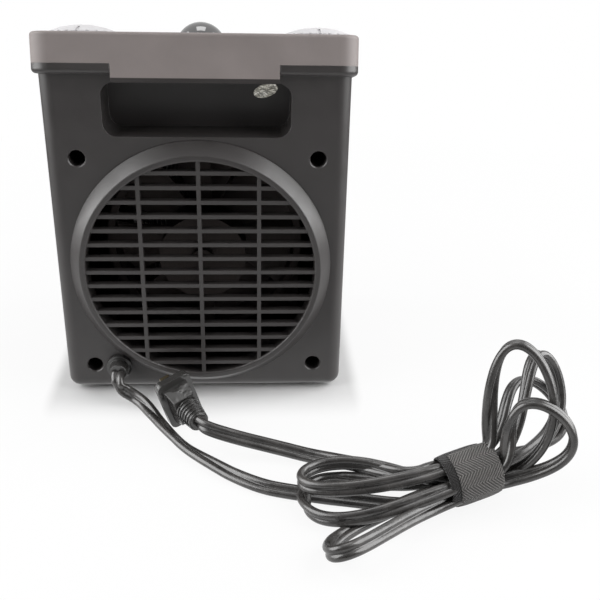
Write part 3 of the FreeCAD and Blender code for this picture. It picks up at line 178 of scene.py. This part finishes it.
# %% Points from the plug to the hank, and the whole line
PLUG_TURN, PLUG_ROLL = math.radians(28), math.radians(17)
PLUG_EXIT = Vector((0.0002, 0.13885, 0.0182))
STRAIGHT_AT_PLUG = 0.0046
STRAIGHT_AT_STRAP = 0.006
LEAD_AT_STRAP = 0.0105
SPLINE_ORDER = 3
POINTS_PER_SPAN = 12
plug_axis = Vector((-math.sin(PLUG_TURN), math.cos(PLUG_TURN), 0))
TAIL = [
    (-0.0068, 0.1456, 0.0173), (-0.0132, 0.1464, 0.0152), (-0.0245, 0.1472, 0.0117),
    (-0.0374, 0.1488, 0.0088), (-0.0507, 0.1522, 0.0070), (-0.0640, 0.1573, 0.0062),
    (-0.0775, 0.1638, 0.0075), (-0.0905, 0.1726, 0.0105), (-0.1005, 0.1809, 0.0134),
    (-0.1063, 0.1852, 0.0146), (-0.1116, 0.1882, 0.0154), (-0.1173, 0.1898, 0.0161)]

lead_end = in_bundle(-CLEAR_OF_STRAP, *SLOTS[LOOPS[0][0]])
tail_end = in_bundle(-CLEAR_OF_STRAP, *SLOTS[LOOPS[-1][1]])
tail = [PLUG_EXIT, PLUG_EXIT + plug_axis * STRAIGHT_AT_PLUG, *TAIL,
        tail_end - ALONG * STRAIGHT_AT_STRAP, tail_end]
route = [*LEAD, lead_end - ALONG * LEAD_AT_STRAP, lead_end, *hank, *reversed(tail)]

curve = bpy.data.curves.new("cord_line", "CURVE")
curve.dimensions = "3D"
spline = curve.splines.new("NURBS")
spline.points.add(len(route) - 1)
for knot, point in zip(spline.points, route):
    knot.co = (*point, 1)
spline.order_u = SPLINE_ORDER
spline.use_endpoint_u = True
spline.resolution_u = POINTS_PER_SPAN
cord_line = add_object("cord_line", curve)
read_back = bpy.data.meshes.new_from_object(cord_line)
path = np.array([vertex.co[:] for vertex in read_back.vertices])
bpy.data.objects.remove(cord_line)
print("cord line:", len(path), "points")


# %% [markdown]
# Vinyl can't be folded like paper, so near the strap each place that turns too sharply is eased towards its
# neighbours until it bends no tighter than the cord can. Moving the loops' own points would ease them too,
# but would also change the loops where they look right.

# %% Ease the sharp places
HANK_REACH = 0.05
TIGHTEST_BEND = 0.007
EASING_ROUNDS = 400
EASING_SHARE = 0.25

in_hank = np.linalg.norm(path - np.array(WAIST), axis=1)[1:-1] < HANK_REACH
for _ in range(EASING_ROUNDS):
    turn = path[:-2] - 2 * path[1:-1] + path[2:]
    stride = np.linalg.norm(path[2:] - path[:-2], axis=1) / 2
    sharp = in_hank & (np.linalg.norm(turn, axis=1) * TIGHTEST_BEND > stride ** 2)
    path[1:-1][sharp] += turn[sharp] * EASING_SHARE
steps = np.linalg.norm(np.diff(path, axis=0), axis=1)
print("cord line:", round(float(steps.sum()), 3), "m,", int(sharp.sum()), "places still sharp")


# %% [markdown]
# ## Which way the flat cord faces
# A flat cord bends easily over its flat side and hardly at all over its edge, so its wide side turns until
# it lies along the axis of each bend. On the floor it lies flat, and in the strap the passes lie flat too.
# The facing could be keyed by hand at each point. Instead each place is pulled gently towards what it wants
# and evened out with its neighbours, many times over, until the whole cord has settled.

# %% Settle the wide side of the cord
BEND_PULL = 1.6e-4
FLOOR_PULL = 0.05
STRAP_PULL = 0.12
NEAR_FLOOR = 0.0038
BUNDLE_REACH = 0.02
# metres along the cord, degrees that its wide side leans there
LEAD_ROLL = [(0.03, 0), (0.075, 36), (0.14, -40), (0.21, -40), (0.25, 0)]
SETTLING_ROUNDS = 700
MM = 1000


def unit(rows):
    return rows / np.linalg.norm(rows, axis=-1, keepdims=True)


heading = unit(np.gradient(path, axis=0))
travelled = np.concatenate(([0], np.cumsum(steps)))
bend_axis = np.cross(heading, np.gradient(heading, travelled, axis=0))
flat_on_floor = unit(np.cross(heading, (0, 0, 1)))
from_waist = path - np.array(WAIST)
in_strap = abs(from_waist @ np.array(ALONG)) < STRAP_HALF
in_strap &= np.linalg.norm(from_waist, axis=1) < BUNDLE_REACH
on_floor = path[:, 2] < NEAR_FLOOR
pull = bend_axis * BEND_PULL
roll = np.radians(np.interp(travelled, *zip(*LEAD_ROLL)))[:, None]
lying = flat_on_floor * np.cos(roll) + np.array((0, 0, 1)) * np.sin(roll)
pull[on_floor] += lying[on_floor] * FLOOR_PULL
pull[in_strap] = np.array(ACROSS) * STRAP_PULL

blade_side = Matrix.Rotation(PLUG_TURN, 3, "Z") @ Matrix.Rotation(PLUG_ROLL, 3, "Y") @ Vector((0, 0, 1))
wide = np.empty_like(path)
wide[0] = flat_on_floor[0]
for n in range(1, len(path)):
    wide[n] = unit(wide[n - 1] - heading[n] * (wide[n - 1] @ heading[n]))
for _ in range(SETTLING_ROUNDS):
    same_way = np.where(np.sum(wide * pull, axis=1, keepdims=True) < 0, -1.0, 1.0)
    end_side = np.array(blade_side) * (1 if wide[-1] @ np.array(blade_side) > 0 else -1)
    even = wide.copy()
    even[1:-1] = (wide[:-2] + wide[2:]) / 2
    wide = even + pull * same_way
    wide[0], wide[-1] = flat_on_floor[0], end_side
    wide = unit(wide - heading * np.sum(wide * heading, axis=1, keepdims=True))
print("sharpest bend radius:", round(MM / np.linalg.norm(bend_axis, axis=1).max(), 1), "mm")


# %% [markdown]
# ## The skin of the cord
# The lead is two insulated cores moulded side by side, so its section is two circles with a groove between.
# A bevelled curve could carry that section, but it would choose its own twist. A skin of quads, laid ring by
# ring along the points, keeps the facing that was settled above.

# %% Two cores and a groove
CORE_RADIUS = 0.0023
CORE_OFFSET = 0.0020
GROOVE_HALF = 0.0013
CORE_STEPS = 14
CORE_SWEEP = math.radians(134)
FLOOR_LIFT = 0.0001

core = [(CORE_OFFSET + CORE_RADIUS * math.cos(a), CORE_RADIUS * math.sin(a))
        for a in np.linspace(-CORE_SWEEP, CORE_SWEEP, CORE_STEPS)]
section = [*core, (0, GROOVE_HALF), *((-x, -y) for x, y in core), (0, -GROOVE_HALF)]
section = np.array(section)
thick = np.cross(heading, wide)
rings = path[:, None, :] + wide[:, None, :] * section[None, :, :1]
rings = rings + thick[:, None, :] * section[None, :, 1:]
rings[:, :, 2] = np.maximum(rings[:, :, 2], FLOOR_LIFT)

sides = len(section)
faces = [(n * sides + k, n * sides + (k + 1) % sides, (n + 1) * sides + (k + 1) % sides, (n + 1) * sides + k)
         for n in range(len(path) - 1) for k in range(sides)]
faces += [tuple(reversed(range(sides))), tuple(range((len(path) - 1) * sides, len(path) * sides))]


def smooth_piece(name, points, polygons):
    mesh = bpy.data.meshes.new(name)
    mesh.from_pydata([tuple(point) for point in points], [], polygons)
    mesh.validate()
    mesh.polygons.foreach_set("use_smooth", [True] * len(mesh.polygons))
    return add_object(name, mesh)


flat_cord = smooth_piece("flat_cord", rings.reshape(-1, 3), faces)
cord_size = np.ptp(section, axis=0) * MM
print("flat cord:", len(flat_cord.data.polygons), "faces, section", cord_size.round(1), "mm")


# %% [markdown]
# ## The strap round the hank
# The tie is a band of hook-and-loop tape, wound once and a half round the bundle, with its last turn lying on
# the first and a little off to one side.
# A ring would do from far away. A band wound as a spiral shows the step where the tape ends and the darker
# inner turn that looks out beside the outer one, so it is laid as a grid that knows where it is on the tape.

# %% Wind the strap
STRAP_WIDTH = 0.0250
STRAP_THICKNESS = 0.0010
STRAP_TURNS = 1.5
STRAP_START = math.radians(285)
STRAP_INNER = 0.01295
STRAP_DRIFT = 0.0075
OUTER_TURN = 0.7
TURN_GROWTH = 1.06
BULGE, BULGES, BULGE_START = 0.00035, 3, 0.7
FRAY, FRAY_WAVES, FRAY_SLANT, FRAY_POWER = 0.00022, 37, 5, 6
PINCH, PINCH_POWER = 0.0006, 4
LENGTH_STEPS, WIDTH_STEPS = 150, 26


def strap_grid(lift):
    """Rows of points across the tape, one after another along it, lifted off the bundle."""
    points = []
    for i in range(LENGTH_STEPS + 1):
        share = i / LENGTH_STEPS
        angle = STRAP_START + share * STRAP_TURNS * math.tau
        radius = STRAP_INNER + lift + share * STRAP_TURNS * STRAP_THICKNESS * TURN_GROWTH
        radius += BULGE * math.sin(BULGES * angle + BULGE_START)
        drift = STRAP_DRIFT * (share - OUTER_TURN)
        for j in range(WIDTH_STEPS + 1):
            over = j / WIDTH_STEPS - 0.5
            at_edge = abs(2 * over)
            fray = FRAY * math.sin(angle * FRAY_WAVES + FRAY_SLANT * over) * at_edge ** FRAY_POWER
            along = over * STRAP_WIDTH + drift + fray
            pinched = radius - PINCH * at_edge ** PINCH_POWER
            points.append(in_bundle(along, pinched * math.cos(angle), pinched * math.sin(angle)))
    return points


inner, outer = strap_grid(0), strap_grid(STRAP_THICKNESS)
row = WIDTH_STEPS + 1
under = len(inner)
strap_faces = []
for i in range(LENGTH_STEPS):
    for j in range(WIDTH_STEPS):
        a, b = i * row + j, (i + 1) * row + j
        strap_faces += [(a, a + 1, b + 1, b), (under + a, under + b, under + b + 1, under + a + 1)]
    for a, b in ((i * row, (i + 1) * row), ((i + 1) * row + WIDTH_STEPS, i * row + WIDTH_STEPS)):
        strap_faces.append((a, b, under + b, under + a))
for j in range(WIDTH_STEPS):
    last = LENGTH_STEPS * row + j
    strap_faces += [(j + 1, j, under + j, under + j + 1), (last, last + 1, under + last + 1, under + last)]
cord_tie = smooth_piece("cord_tie", inner + outer, strap_faces)

tape = cord_tie.data.uv_layers.new(name="tape")
tape_length = STRAP_TURNS * math.tau * (STRAP_INNER + STRAP_THICKNESS)
for corner in cord_tie.data.loops:
    i, j = divmod(corner.vertex_index % under, row)
    tape.data[corner.index].uv = (i / LENGTH_STEPS * tape_length * MM, j / WIDTH_STEPS * STRAP_WIDTH * MM)
print("strap:", round(tape_length, 3), "m of tape")


# %% [markdown]
# ## Writing finishes
# Each finish is a small graph of nodes: noise at the size of the real grain, spread into the range that a
# colour, a roughness or a bump needs. Image textures would need unwrapped pieces; noise in the object's own
# space needs nothing and has the same size, in metres, on every piece.
# Values that are the same all over a surface stay on the shader itself.

# %% Helpers for finishes
SLOT_FINISHES = {}
# detail of the noise, and the range that most of it lies in
PLAIN, FINE, FINEST = 2.0, 3.0, 4.0
NOISE_LOW, NOISE_HIGH = 0.3, 0.7


def add_node(finish, kind, inputs, **settings):
    """A node with its settings, and its inputs by name or number: plain values or sockets to link from."""
    made = finish.node_tree.nodes.new(kind)
    for name, value in settings.items():
        setattr(made, name, value)
    for place, value in inputs.items():
        if isinstance(value, bpy.types.NodeSocket):
            finish.node_tree.links.new(value, made.inputs[place])
        else:
            made.inputs[place].default_value = value
    return made


def blank_finish(slot, colour, rough, **inputs):
    finish = bpy.data.materials.new(slot)
    finish.use_nodes = True
    shader = finish.node_tree.nodes["Principled BSDF"]
    shader.inputs["Base Color"].default_value = (*colour, 1)
    shader.inputs["Roughness"].default_value = rough
    for name, value in inputs.items():
        shader.inputs[name.replace("_", " ")].default_value = value
    SLOT_FINISHES[slot] = finish
    return finish


def grain(finish, size, detail=PLAIN, stretch=(1, 1, 1)):
    """Noise with bumps of about that size in metres, in the object's own space."""
    space = add_node(finish, "ShaderNodeTexCoord", {}).outputs["Object"]
    if stretch != (1, 1, 1):
        space = add_node(finish, "ShaderNodeMapping", {"Vector": space, "Scale": stretch}).outputs["Vector"]
    inputs = {"Vector": space, "Scale": 1 / size, "Detail": detail}
    return add_node(finish, "ShaderNodeTexNoise", inputs).outputs["Fac"]


def spread(finish, value, low, high, start=NOISE_LOW, end=NOISE_HIGH, steps="LINEAR"):
    """A value that lies between start and end, stretched to lie between low and high."""
    inputs = {"Value": value, "From Min": start, "From Max": end, "To Min": low, "To Max": high}
    return add_node(finish, "ShaderNodeMapRange", inputs, interpolation_type=steps).outputs["Result"]


def combine(finish, operation, first, second):
    return add_node(finish, "ShaderNodeMath", {0: first, 1: second}, operation=operation).outputs[0]


def vector_math(finish, operation, *values, result="Vector"):
    made = add_node(finish, "ShaderNodeVectorMath", dict(enumerate(values)), operation=operation)
    return made.outputs[result]


def mixed(finish, share, first, second):
    """A colour between two others; the node keeps its colour inputs after its number and vector ones."""
    inputs = {0: share, 6: (*first, 1) if isinstance(first, tuple) else first, 7: (*second, 1)}
    return add_node(finish, "ShaderNodeMix", inputs, data_type="RGBA").outputs[2]


def wire(finish, socket, name):
    finish.node_tree.links.new(socket, finish.node_tree.nodes["Principled BSDF"].inputs[name])


def raise_bumps(finish, height, distance, **inputs):
    made = add_node(finish, "ShaderNodeBump", {"Height": height, "Distance": distance, **inputs})
    wire(finish, made.outputs[0], "Normal")


def shade(colour, amount):
    return tuple(min(1.0, part * amount) for part in colour)


print("finish helpers ready")


# %% [markdown]
# ## Moulded plastic
# The housing is moulded in charcoal plastic with a fine spark-eroded grain. It has a soft sheen, is a little
# paler where hands and cartons have rubbed its edges, and is never quite even in colour.
# Rubbed edges could be painted. Here the shader's own bevel tells where an edge is: the rounded normal leaves
# the true one there, and the difference is the mask.

# %% Plastics
EDGE_ROUNDING, EDGE_SAMPLES = 0.0006, 4
CLOUD_SIZE, PATCH_SIZE, SHEEN_SIZE = 0.03, 0.006, 0.012
EDGE_AGREES, FLAT_AGREES = 0.80, 0.995
LEAST_RUBBED = 0.2
RUBBED_PALER = 2.6
GLOSSIER, DULLER = 0.05, 0.07


def moulded(slot, colour, rough, grain_size=0.0006, grain_height=2e-5, rubbed=0.0, uneven=0.08, **inputs):
    finish = blank_finish(slot, colour, rough, **inputs)
    rounded = add_node(finish, "ShaderNodeBevel", {"Radius": EDGE_ROUNDING}, samples=EDGE_SAMPLES).outputs[0]
    cloud = spread(finish, grain(finish, CLOUD_SIZE, FINEST), 0, 1)
    tone = mixed(finish, cloud, shade(colour, 1 - uneven), shade(colour, 1 + uneven))
    if rubbed:
        true_normal = add_node(finish, "ShaderNodeNewGeometry", {}).outputs["Normal"]
        agree = vector_math(finish, "DOT_PRODUCT", rounded, true_normal, result="Value")
        edge = spread(finish, agree, rubbed, 0.0, EDGE_AGREES, FLAT_AGREES)
        patchy = spread(finish, grain(finish, PATCH_SIZE, FINE), LEAST_RUBBED, 1)
        tone = mixed(finish, combine(finish, "MULTIPLY", edge, patchy), tone, shade(colour, RUBBED_PALER))
    wire(finish, tone, "Base Color")
    sheen = grain(finish, SHEEN_SIZE, FINE)
    wire(finish, spread(finish, sheen, rough - GLOSSIER, rough + DULLER), "Roughness")
    raise_bumps(finish, grain(finish, grain_size), grain_height, Normal=rounded)
    return finish


CHARCOAL = (0.028, 0.0250, 0.0245)
moulded("charcoal_plastic", CHARCOAL, 0.40, rubbed=0.6, Specular_IOR_Level=0.65)
cap_plastic = moulded("grey_plastic", (0.190, 0.167, 0.161), 0.50, rubbed=0.4, Specular_IOR_Level=0.35)
moulded("silver_plastic", (0.48, 0.47, 0.48), 0.36, grain_height=8e-6, uneven=0.04)
moulded("black_gloss", (0.030, 0.029, 0.028), 0.16, grain_size=0.008, grain_height=5e-4, uneven=0.2,
        Specular_IOR_Level=0.85)
moulded("foot_rubber", (0.028, 0.027, 0.027), 0.75, grain_size=0.0008, grain_height=5e-5)
moulded("heat_plastic", (0.085, 0.070, 0.066), 0.55)
moulded("wire_plastic", (0.035, 0.032, 0.032), 0.3, grain_height=4e-6, uneven=0.05)
print("plastics:", ", ".join(SLOT_FINISHES))


# %% [markdown]
# In the solids the tab of the cap hangs about 2.5 mm too low, over a strip of housing that should show there
# in the tab's shade. A shorter tab would be the better mend, but a scene leaves the solids as they are. So
# the tab's lip is painted in the housing's charcoal, as painted shade along the tab's lower edge: a band in
# the cap's finish, found by its height and by being at the back.

# %% Lip of the tab, in painted shade
LIP_TOP = 0.2065
LIP_FADE = 0.0002
TAB_FRONT = 0.072

cap_space = add_node(cap_plastic, "ShaderNodeTexCoord", {}).outputs["Object"]
on_cap = add_node(cap_plastic, "ShaderNodeSeparateXYZ", {0: cap_space}).outputs
low_down = spread(cap_plastic, on_cap["Z"], 1, 0, LIP_TOP - LIP_FADE, LIP_TOP)
at_back = combine(cap_plastic, "GREATER_THAN", on_cap["Y"], TAB_FRONT)
# Mask of the painted shade along the tab's lower edge.
lip = combine(cap_plastic, "MULTIPLY", low_down, at_back)
cap_shader = cap_plastic.node_tree.nodes["Principled BSDF"]
cap_tone = cap_shader.inputs["Base Color"].links[0].from_socket
wire(cap_plastic, mixed(cap_plastic, lip, cap_tone, CHARCOAL), "Base Color")
print("lip of the tab up to", LIP_TOP, "m")


# %% [markdown]
# ## Metals
# The duct, the screws, the motor and the heating fins are thin sheet or turned metal, seen dimly through the
# slats and the front grille. The duct and the fins are coloured far darker than bare metal, as painted shade
# deep inside the housing. Rolled sheet shows fine lines along its length, so its noise is drawn out in one
# direction, and its roughness follows the lines.

# %% Metals
LINE_DARKER, LINE_PALER = 0.82, 1.12
LINE_GLOSSIER, LINE_DULLER = 0.06, 0.10
LINE_HEIGHT = 1e-5


def metal(slot, colour, rough, line_size=0.0008, stretch=(1, 1, 0.06)):
    finish = blank_finish(slot, colour, rough, Metallic=1.0)
    lines = grain(finish, line_size, FINE, stretch)
    tone = mixed(finish, spread(finish, lines, 0, 1), shade(colour, LINE_DARKER), shade(colour, LINE_PALER))
    wire(finish, tone, "Base Color")
    wire(finish, spread(finish, lines, rough - LINE_GLOSSIER, rough + LINE_DULLER), "Roughness")
    raise_bumps(finish, lines, LINE_HEIGHT)


metal("zinc_steel", (0.10, 0.094, 0.090), 0.36)
# Duct and fins: colours far darker than bare metal, as painted shade deep inside the housing.
metal("duct_steel", (0.055, 0.047, 0.045), 0.50)
metal("fin_aluminium", (0.22, 0.215, 0.21), 0.45)
# The blades are painted dark, as painted shade where they lie in the plug's shadow.
metal("blade_brass", (0.24, 0.20, 0.13), 0.36)
metal("bearing_bronze", (0.50, 0.36, 0.20), 0.45)
metal("core_iron", (0.17, 0.17, 0.18), 0.5)
print("finishes so far:", len(SLOT_FINISHES))


# %% [markdown]
# ## Foil, ceramic, lens and lamp
# The oval in the carrying recess is a bare piece of bright foil that has been pressed on by hand, so it has
# soft dents. The heating bars are unglazed ceramic with fine pores. The pilot lens is smoked and glossy, and
# the lamp under it is clear glass.

# %% Small finishes
DENT_SIZE, DENT_HEIGHT = 0.0022, 0.0006
FOIL_PATCH = 0.003
FOIL_DULL, FOIL_BRIGHT = (0.52, 0.50, 0.43), (0.88, 0.86, 0.79)
PORE_SIZE, PORE_HEIGHT = 0.0007, 4e-5
CERAMIC_DARK, CERAMIC_PALE = (0.62, 0.58, 0.53), (0.78, 0.75, 0.71)
LENS_SMEAR, LENS_ROUGH = 0.004, (0.04, 0.08)
LAMP_SMEAR, LAMP_ROUGH = 0.003, (0.05, 0.12)

foil = blank_finish("foil", (0.80, 0.79, 0.74), 0.22, Metallic=1.0)
raise_bumps(foil, grain(foil, DENT_SIZE, FINE), DENT_HEIGHT)
foil_tone = mixed(foil, spread(foil, grain(foil, FOIL_PATCH), 0, 1), FOIL_DULL, FOIL_BRIGHT)
wire(foil, foil_tone, "Base Color")

ceramic = blank_finish("element_ceramic", (0.72, 0.69, 0.64), 0.8)
pores = grain(ceramic, PORE_SIZE, FINEST)
wire(ceramic, mixed(ceramic, spread(ceramic, pores, 0, 1), CERAMIC_DARK, CERAMIC_PALE), "Base Color")
raise_bumps(ceramic, pores, PORE_HEIGHT)

lens = blank_finish("dark_lens", (0.014, 0.012, 0.012), 0.06, IOR=1.75, Specular_IOR_Level=1.0)
wire(lens, spread(lens, grain(lens, LENS_SMEAR), *LENS_ROUGH), "Roughness")
lamp = blank_finish("lamp_glass", (0.95, 0.62, 0.45), 0.08)
wire(lamp, spread(lamp, grain(lamp, LAMP_SMEAR), *LAMP_ROUGH), "Roughness")
print("finishes so far:", len(SLOT_FINISHES))


# %% [markdown]
# ## The vinyl of the cord
# Cord vinyl is soft and a little oily: nearly black, with a broad bright sheen along each core. It keeps
# shallow waves from being wound up, and dust makes it duller in patches.

# %% Cord finish
DUST_SIZE, GLOSS_SIZE = 0.010, 0.006
VINYL_CLEAN, VINYL_DUSTY = (0.018, 0.017, 0.0165), (0.050, 0.047, 0.045)
VINYL_GLOSS, VINYL_DULL = 0.18, 0.34
WAVE_SIZE, WAVE_HEIGHT = 0.004, 1.2e-4

vinyl = blank_finish("cord_vinyl", (0.034, 0.032, 0.031), 0.26, Specular_IOR_Level=0.8)
dusty = spread(vinyl, grain(vinyl, DUST_SIZE, FINEST), 0, 1)
wire(vinyl, mixed(vinyl, dusty, VINYL_CLEAN, VINYL_DUSTY), "Base Color")
wire(vinyl, spread(vinyl, grain(vinyl, GLOSS_SIZE, FINE), VINYL_GLOSS, VINYL_DULL), "Roughness")
raise_bumps(vinyl, grain(vinyl, WAVE_SIZE), WAVE_HEIGHT)
flat_cord.data.materials.append(vinyl)
print("cord finish on", flat_cord.name)


# %% [markdown]
# ## The weave of the strap
# The tape is woven in a herringbone: short slanted threads in columns that lean to one side and then to the
# other. A picture of cloth could be wrapped round it. A zigzag worked out from the place on the tape has no
# seam and can be as fine as the real threads: the slant turns over at each column, and a wave follows it.

# %% Strap finish
THREAD_MM = 1.8
HALF_THREAD = 0.5
COLUMN_MM = 6.5
THREAD_HEIGHT = 8e-4
FUZZ_SIZE, FUZZ_SHARE = 0.0004, 0.5
VALLEY, CREST = 0.3, 0.8
THREAD_DARK, THREAD_PALE = (0.030, 0.029, 0.028), (0.190, 0.182, 0.176)
INNER_SHADE = (0.016, 0.015, 0.015)
INNER_TURN_MM = math.tau * (STRAP_INNER + STRAP_THICKNESS) * MM
INNER_FADE = 0.9

webbing = blank_finish("strap_fabric", (0.105, 0.101, 0.098), 0.85,
                       Sheen_Weight=0.2, Sheen_Roughness=0.5, Specular_IOR_Level=0.2)
tape_place = add_node(webbing, "ShaderNodeUVMap", {}, uv_map="tape").outputs["UV"]
on_tape = add_node(webbing, "ShaderNodeSeparateXYZ", {0: tape_place}).outputs
zigzag = combine(webbing, "PINGPONG", on_tape["X"], COLUMN_MM)
slanted = combine(webbing, "ADD", on_tape["Y"], zigzag)
ridge = combine(webbing, "PINGPONG", combine(webbing, "DIVIDE", slanted, THREAD_MM), HALF_THREAD)
fuzz = combine(webbing, "MULTIPLY", grain(webbing, FUZZ_SIZE, FINE), FUZZ_SHARE)
height = combine(webbing, "ADD", ridge, fuzz)
weave = mixed(webbing, spread(webbing, height, 0, 1, VALLEY, CREST), THREAD_DARK, THREAD_PALE)
inner_turn = spread(webbing, on_tape["X"], 1, 0, INNER_FADE * INNER_TURN_MM, INNER_TURN_MM)
wire(webbing, mixed(webbing, inner_turn, weave, INNER_SHADE), "Base Color")
raise_bumps(webbing, height, THREAD_HEIGHT)
cord_tie.data.materials.append(webbing)
print("strap finish on", cord_tie.name)


# %% [markdown]
# ## Dress the hard pieces
# The record says which finish each hard piece has, so one loop dresses them all.
# The pieces keep their shapes: only what is in their material slots changes.

# %% Put the finishes on
for part in frame["record"]["subparts"]:
    piece = frame["nodes"][part["node"]]
    finish = SLOT_FINISHES[part["material_slot"]]
    if not piece.material_slots:
        piece.data.materials.append(finish)
    for holder in piece.material_slots:
        holder.material = finish


# %% [markdown]
# ## The white floor
# The heater stands on a white sweep, and its shadow is pale and close to it.
# A white floor could be made by flooding it with light, but that would wash out the charcoal too. Instead the
# floor glows white for what looks straight at it and lights the scene like plain paper. Round the foot of the
# heater the glow fades out: this paints a darker band there as painted shadow, and the paper's own shadow
# shows in it too. In mirrors and gloss the floor glows as a pool of light that ends some way from the heater,
# as a sweep of paper does.

# %% Floor
FLOOR_HALF = 5.0
# The paper is grey, so the painted shadow round the foot is deep where the glow fades out.
PAPER, PAPER_ROUGH = (0.62, 0.62, 0.62, 1), 0.9
NEAR_WHITE = 0.90
SHADOW_REACH, FADE_REACH = 0.22, 0.75
FLOOR_MIDDLE = (-0.06, 0.10, 0)
FOOT_WHITE = 0.0
FOOT_FADE = 0.034
FOOT_STRETCH = (3.2, 1, 1)
POOL_START, POOL_END, POOL_RIM = 0.22, 0.65, 0.20
WHITE = (1, 1, 1, 1)

floor_mesh = bpy.data.meshes.new("studio_floor")
floor_corners = [(x * FLOOR_HALF, y * FLOOR_HALF, 0) for x, y in ((-1, -1), (1, -1), (1, 1), (-1, 1))]
floor_mesh.from_pydata(floor_corners, [], [(0, 1, 2, 3)])
floor = add_object("studio_floor", floor_mesh)
sweep = bpy.data.materials.new("white_sweep")
sweep.use_nodes = True
floor_mesh.materials.append(sweep)
paper = sweep.node_tree.nodes["Principled BSDF"]
paper.inputs["Base Color"].default_value = PAPER
paper.inputs["Roughness"].default_value = PAPER_ROUGH

spot = add_node(sweep, "ShaderNodeNewGeometry", {}).outputs["Position"]
away = vector_math(sweep, "DISTANCE", spot, FLOOR_MIDDLE, result="Value")
fade = spread(sweep, away, NEAR_WHITE, 1.0, SHADOW_REACH, FADE_REACH)
pool = spread(sweep, away, 1.0, POOL_RIM, POOL_START, POOL_END)
print("floor:", 2 * FLOOR_HALF, "m wide")


# %% [markdown]
# How far a spot lies from the heater's foot is worked out like the distance from a box: what is left over on
# each side beyond half its width. This distance shapes the painted shadow round the foot. Sideways it counts
# more, so the painted shadow is narrower there, as the lamps at the sides leave a narrower shadow.

# %% Painted shadow at the foot
back_low, back_high = (Vector(corner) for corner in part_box("rear_housing"))
front_low, _ = (Vector(corner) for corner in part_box("front_housing"))
foot_middle = ((back_low.x + back_high.x) / 2, (front_low.y + back_high.y) / 2, 0)
foot_half = ((back_high.x - back_low.x) / 2, (back_high.y - front_low.y) / 2, 0)

aside = vector_math(sweep, "ABSOLUTE", vector_math(sweep, "SUBTRACT", spot, foot_middle))
beyond = vector_math(sweep, "MAXIMUM", vector_math(sweep, "SUBTRACT", aside, foot_half), (0, 0, 0))
gap = vector_math(sweep, "LENGTH", vector_math(sweep, "MULTIPLY", beyond, FOOT_STRETCH), result="Value")
# Painted shadow: the white glow fades to nothing close round the foot.
foot = spread(sweep, gap, FOOT_WHITE, 1.0, 0.0, FOOT_FADE, "SMOOTHSTEP")

floor_rays = add_node(sweep, "ShaderNodeLightPath", {}).outputs
straight = combine(sweep, "MAXIMUM", floor_rays["Is Camera Ray"], floor_rays["Is Transmission Ray"])
whiten = combine(sweep, "MULTIPLY", straight, combine(sweep, "MULTIPLY", fade, foot))
whiten = combine(sweep, "MAXIMUM", whiten, floor_rays["Is Glossy Ray"])
level = combine(sweep, "MAXIMUM", straight, pool)
glow = add_node(sweep, "ShaderNodeEmission", {"Color": WHITE, "Strength": level})
paper_mix = add_node(sweep, "ShaderNodeMixShader", {0: whiten, 1: paper.outputs[0], 2: glow.outputs[0]})
sweep.node_tree.links.new(paper_mix.outputs[0], sweep.node_tree.nodes["Material Output"].inputs["Surface"])
print("foot of the heater:", [round(2 * x, 3) for x in foot_half[:2]], "m")


# %% [markdown]
# ## The sky
# The sky is white to look at and gives the room an even, dim light. It is darker behind the camera, as a room
# is where no lamp stands. An even sky would be simpler, but it turns the back of the heater grey with sheen.

# %% Sky
SKY_LEVEL = 0.38
DARK_SIDE = 0.12
DARK_FROM, DARK_TO = 0.0, 0.75

sky = bpy.data.worlds.new("studio_sky")
sky.use_nodes = True
scene.world = sky
room = sky.node_tree.nodes["Background"]
room.inputs["Strength"].default_value = SKY_LEVEL
direction = add_node(sky, "ShaderNodeTexCoord", {}).outputs["Generated"]
towards = add_node(sky, "ShaderNodeSeparateXYZ", {0: direction}).outputs["Y"]
room_tone = spread(sky, towards, 1.0, DARK_SIDE, DARK_FROM, DARK_TO)
sky.node_tree.links.new(room_tone, room.inputs["Color"])
sky_rays = add_node(sky, "ShaderNodeLightPath", {}).outputs
bright = combine(sky, "MAXIMUM", sky_rays["Is Camera Ray"], room_tone)
seen = add_node(sky, "ShaderNodeBackground", {"Color": bright, "Strength": 1.0})
looked_at = combine(sky, "MAXIMUM", sky_rays["Is Camera Ray"], sky_rays["Is Glossy Ray"])
looked_at = combine(sky, "MAXIMUM", looked_at, sky_rays["Is Transmission Ray"])
sky_mix = add_node(sky, "ShaderNodeMixShader", {0: looked_at, 1: room.outputs[0], 2: seen.outputs[0]})
sky.node_tree.links.new(sky_mix.outputs[0], sky.node_tree.nodes["World Output"].inputs["Surface"])
print("sky:", sky.name, "at", SKY_LEVEL)


# %% [markdown]
# ## The lamps
# One big lamp overhead would be simpler, but it would light the cap far more than the back. Two soft boxes at
# the sides bring out the ring and the cord, and a small one overhead puts a glint on the lens.

# %% Lamps
# name, place, target, size in metres, watts
LAMPS = [
    ("overhead_softbox", (0, -0.35, 1.45), (0, 0.02, 0.1), 0.6, 3),
    ("left_softbox", (0.95, 0.20, 0.58), (0, 0.06, 0.12), 1.2, 20),
    ("right_softbox", (-0.95, 0.20, 0.60), (0, 0.06, 0.12), 1.2, 21)]

for name, stand, target, size, watts in LAMPS:
    softbox = bpy.data.lights.new(name, "AREA")
    softbox.shape = "SQUARE"
    softbox.size = size
    softbox.energy = watts
    aim = (Vector(target) - Vector(stand)).to_track_quat("-Z", "Y")
    add_object(name, softbox).matrix_world = Matrix.Translation(stand) @ aim.to_matrix().to_4x4()
print("lamps:", ", ".join(lamp_row[0] for lamp_row in LAMPS))


# %% [markdown]
# ## Tie the cord and strap to the housing
# The cord and its strap rest where their solids are and move with the housing.

# %% Ride and replace
for piece, slot, solids in ((flat_cord, "cord_vinyl", ("cord_lead", "cord_hank", "cord_tail")),
                            (cord_tie, "strap_fabric", ("cord_strap",))):
    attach(piece, "housing")
    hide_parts(*solids)
print("cord and strap tied to the housing")
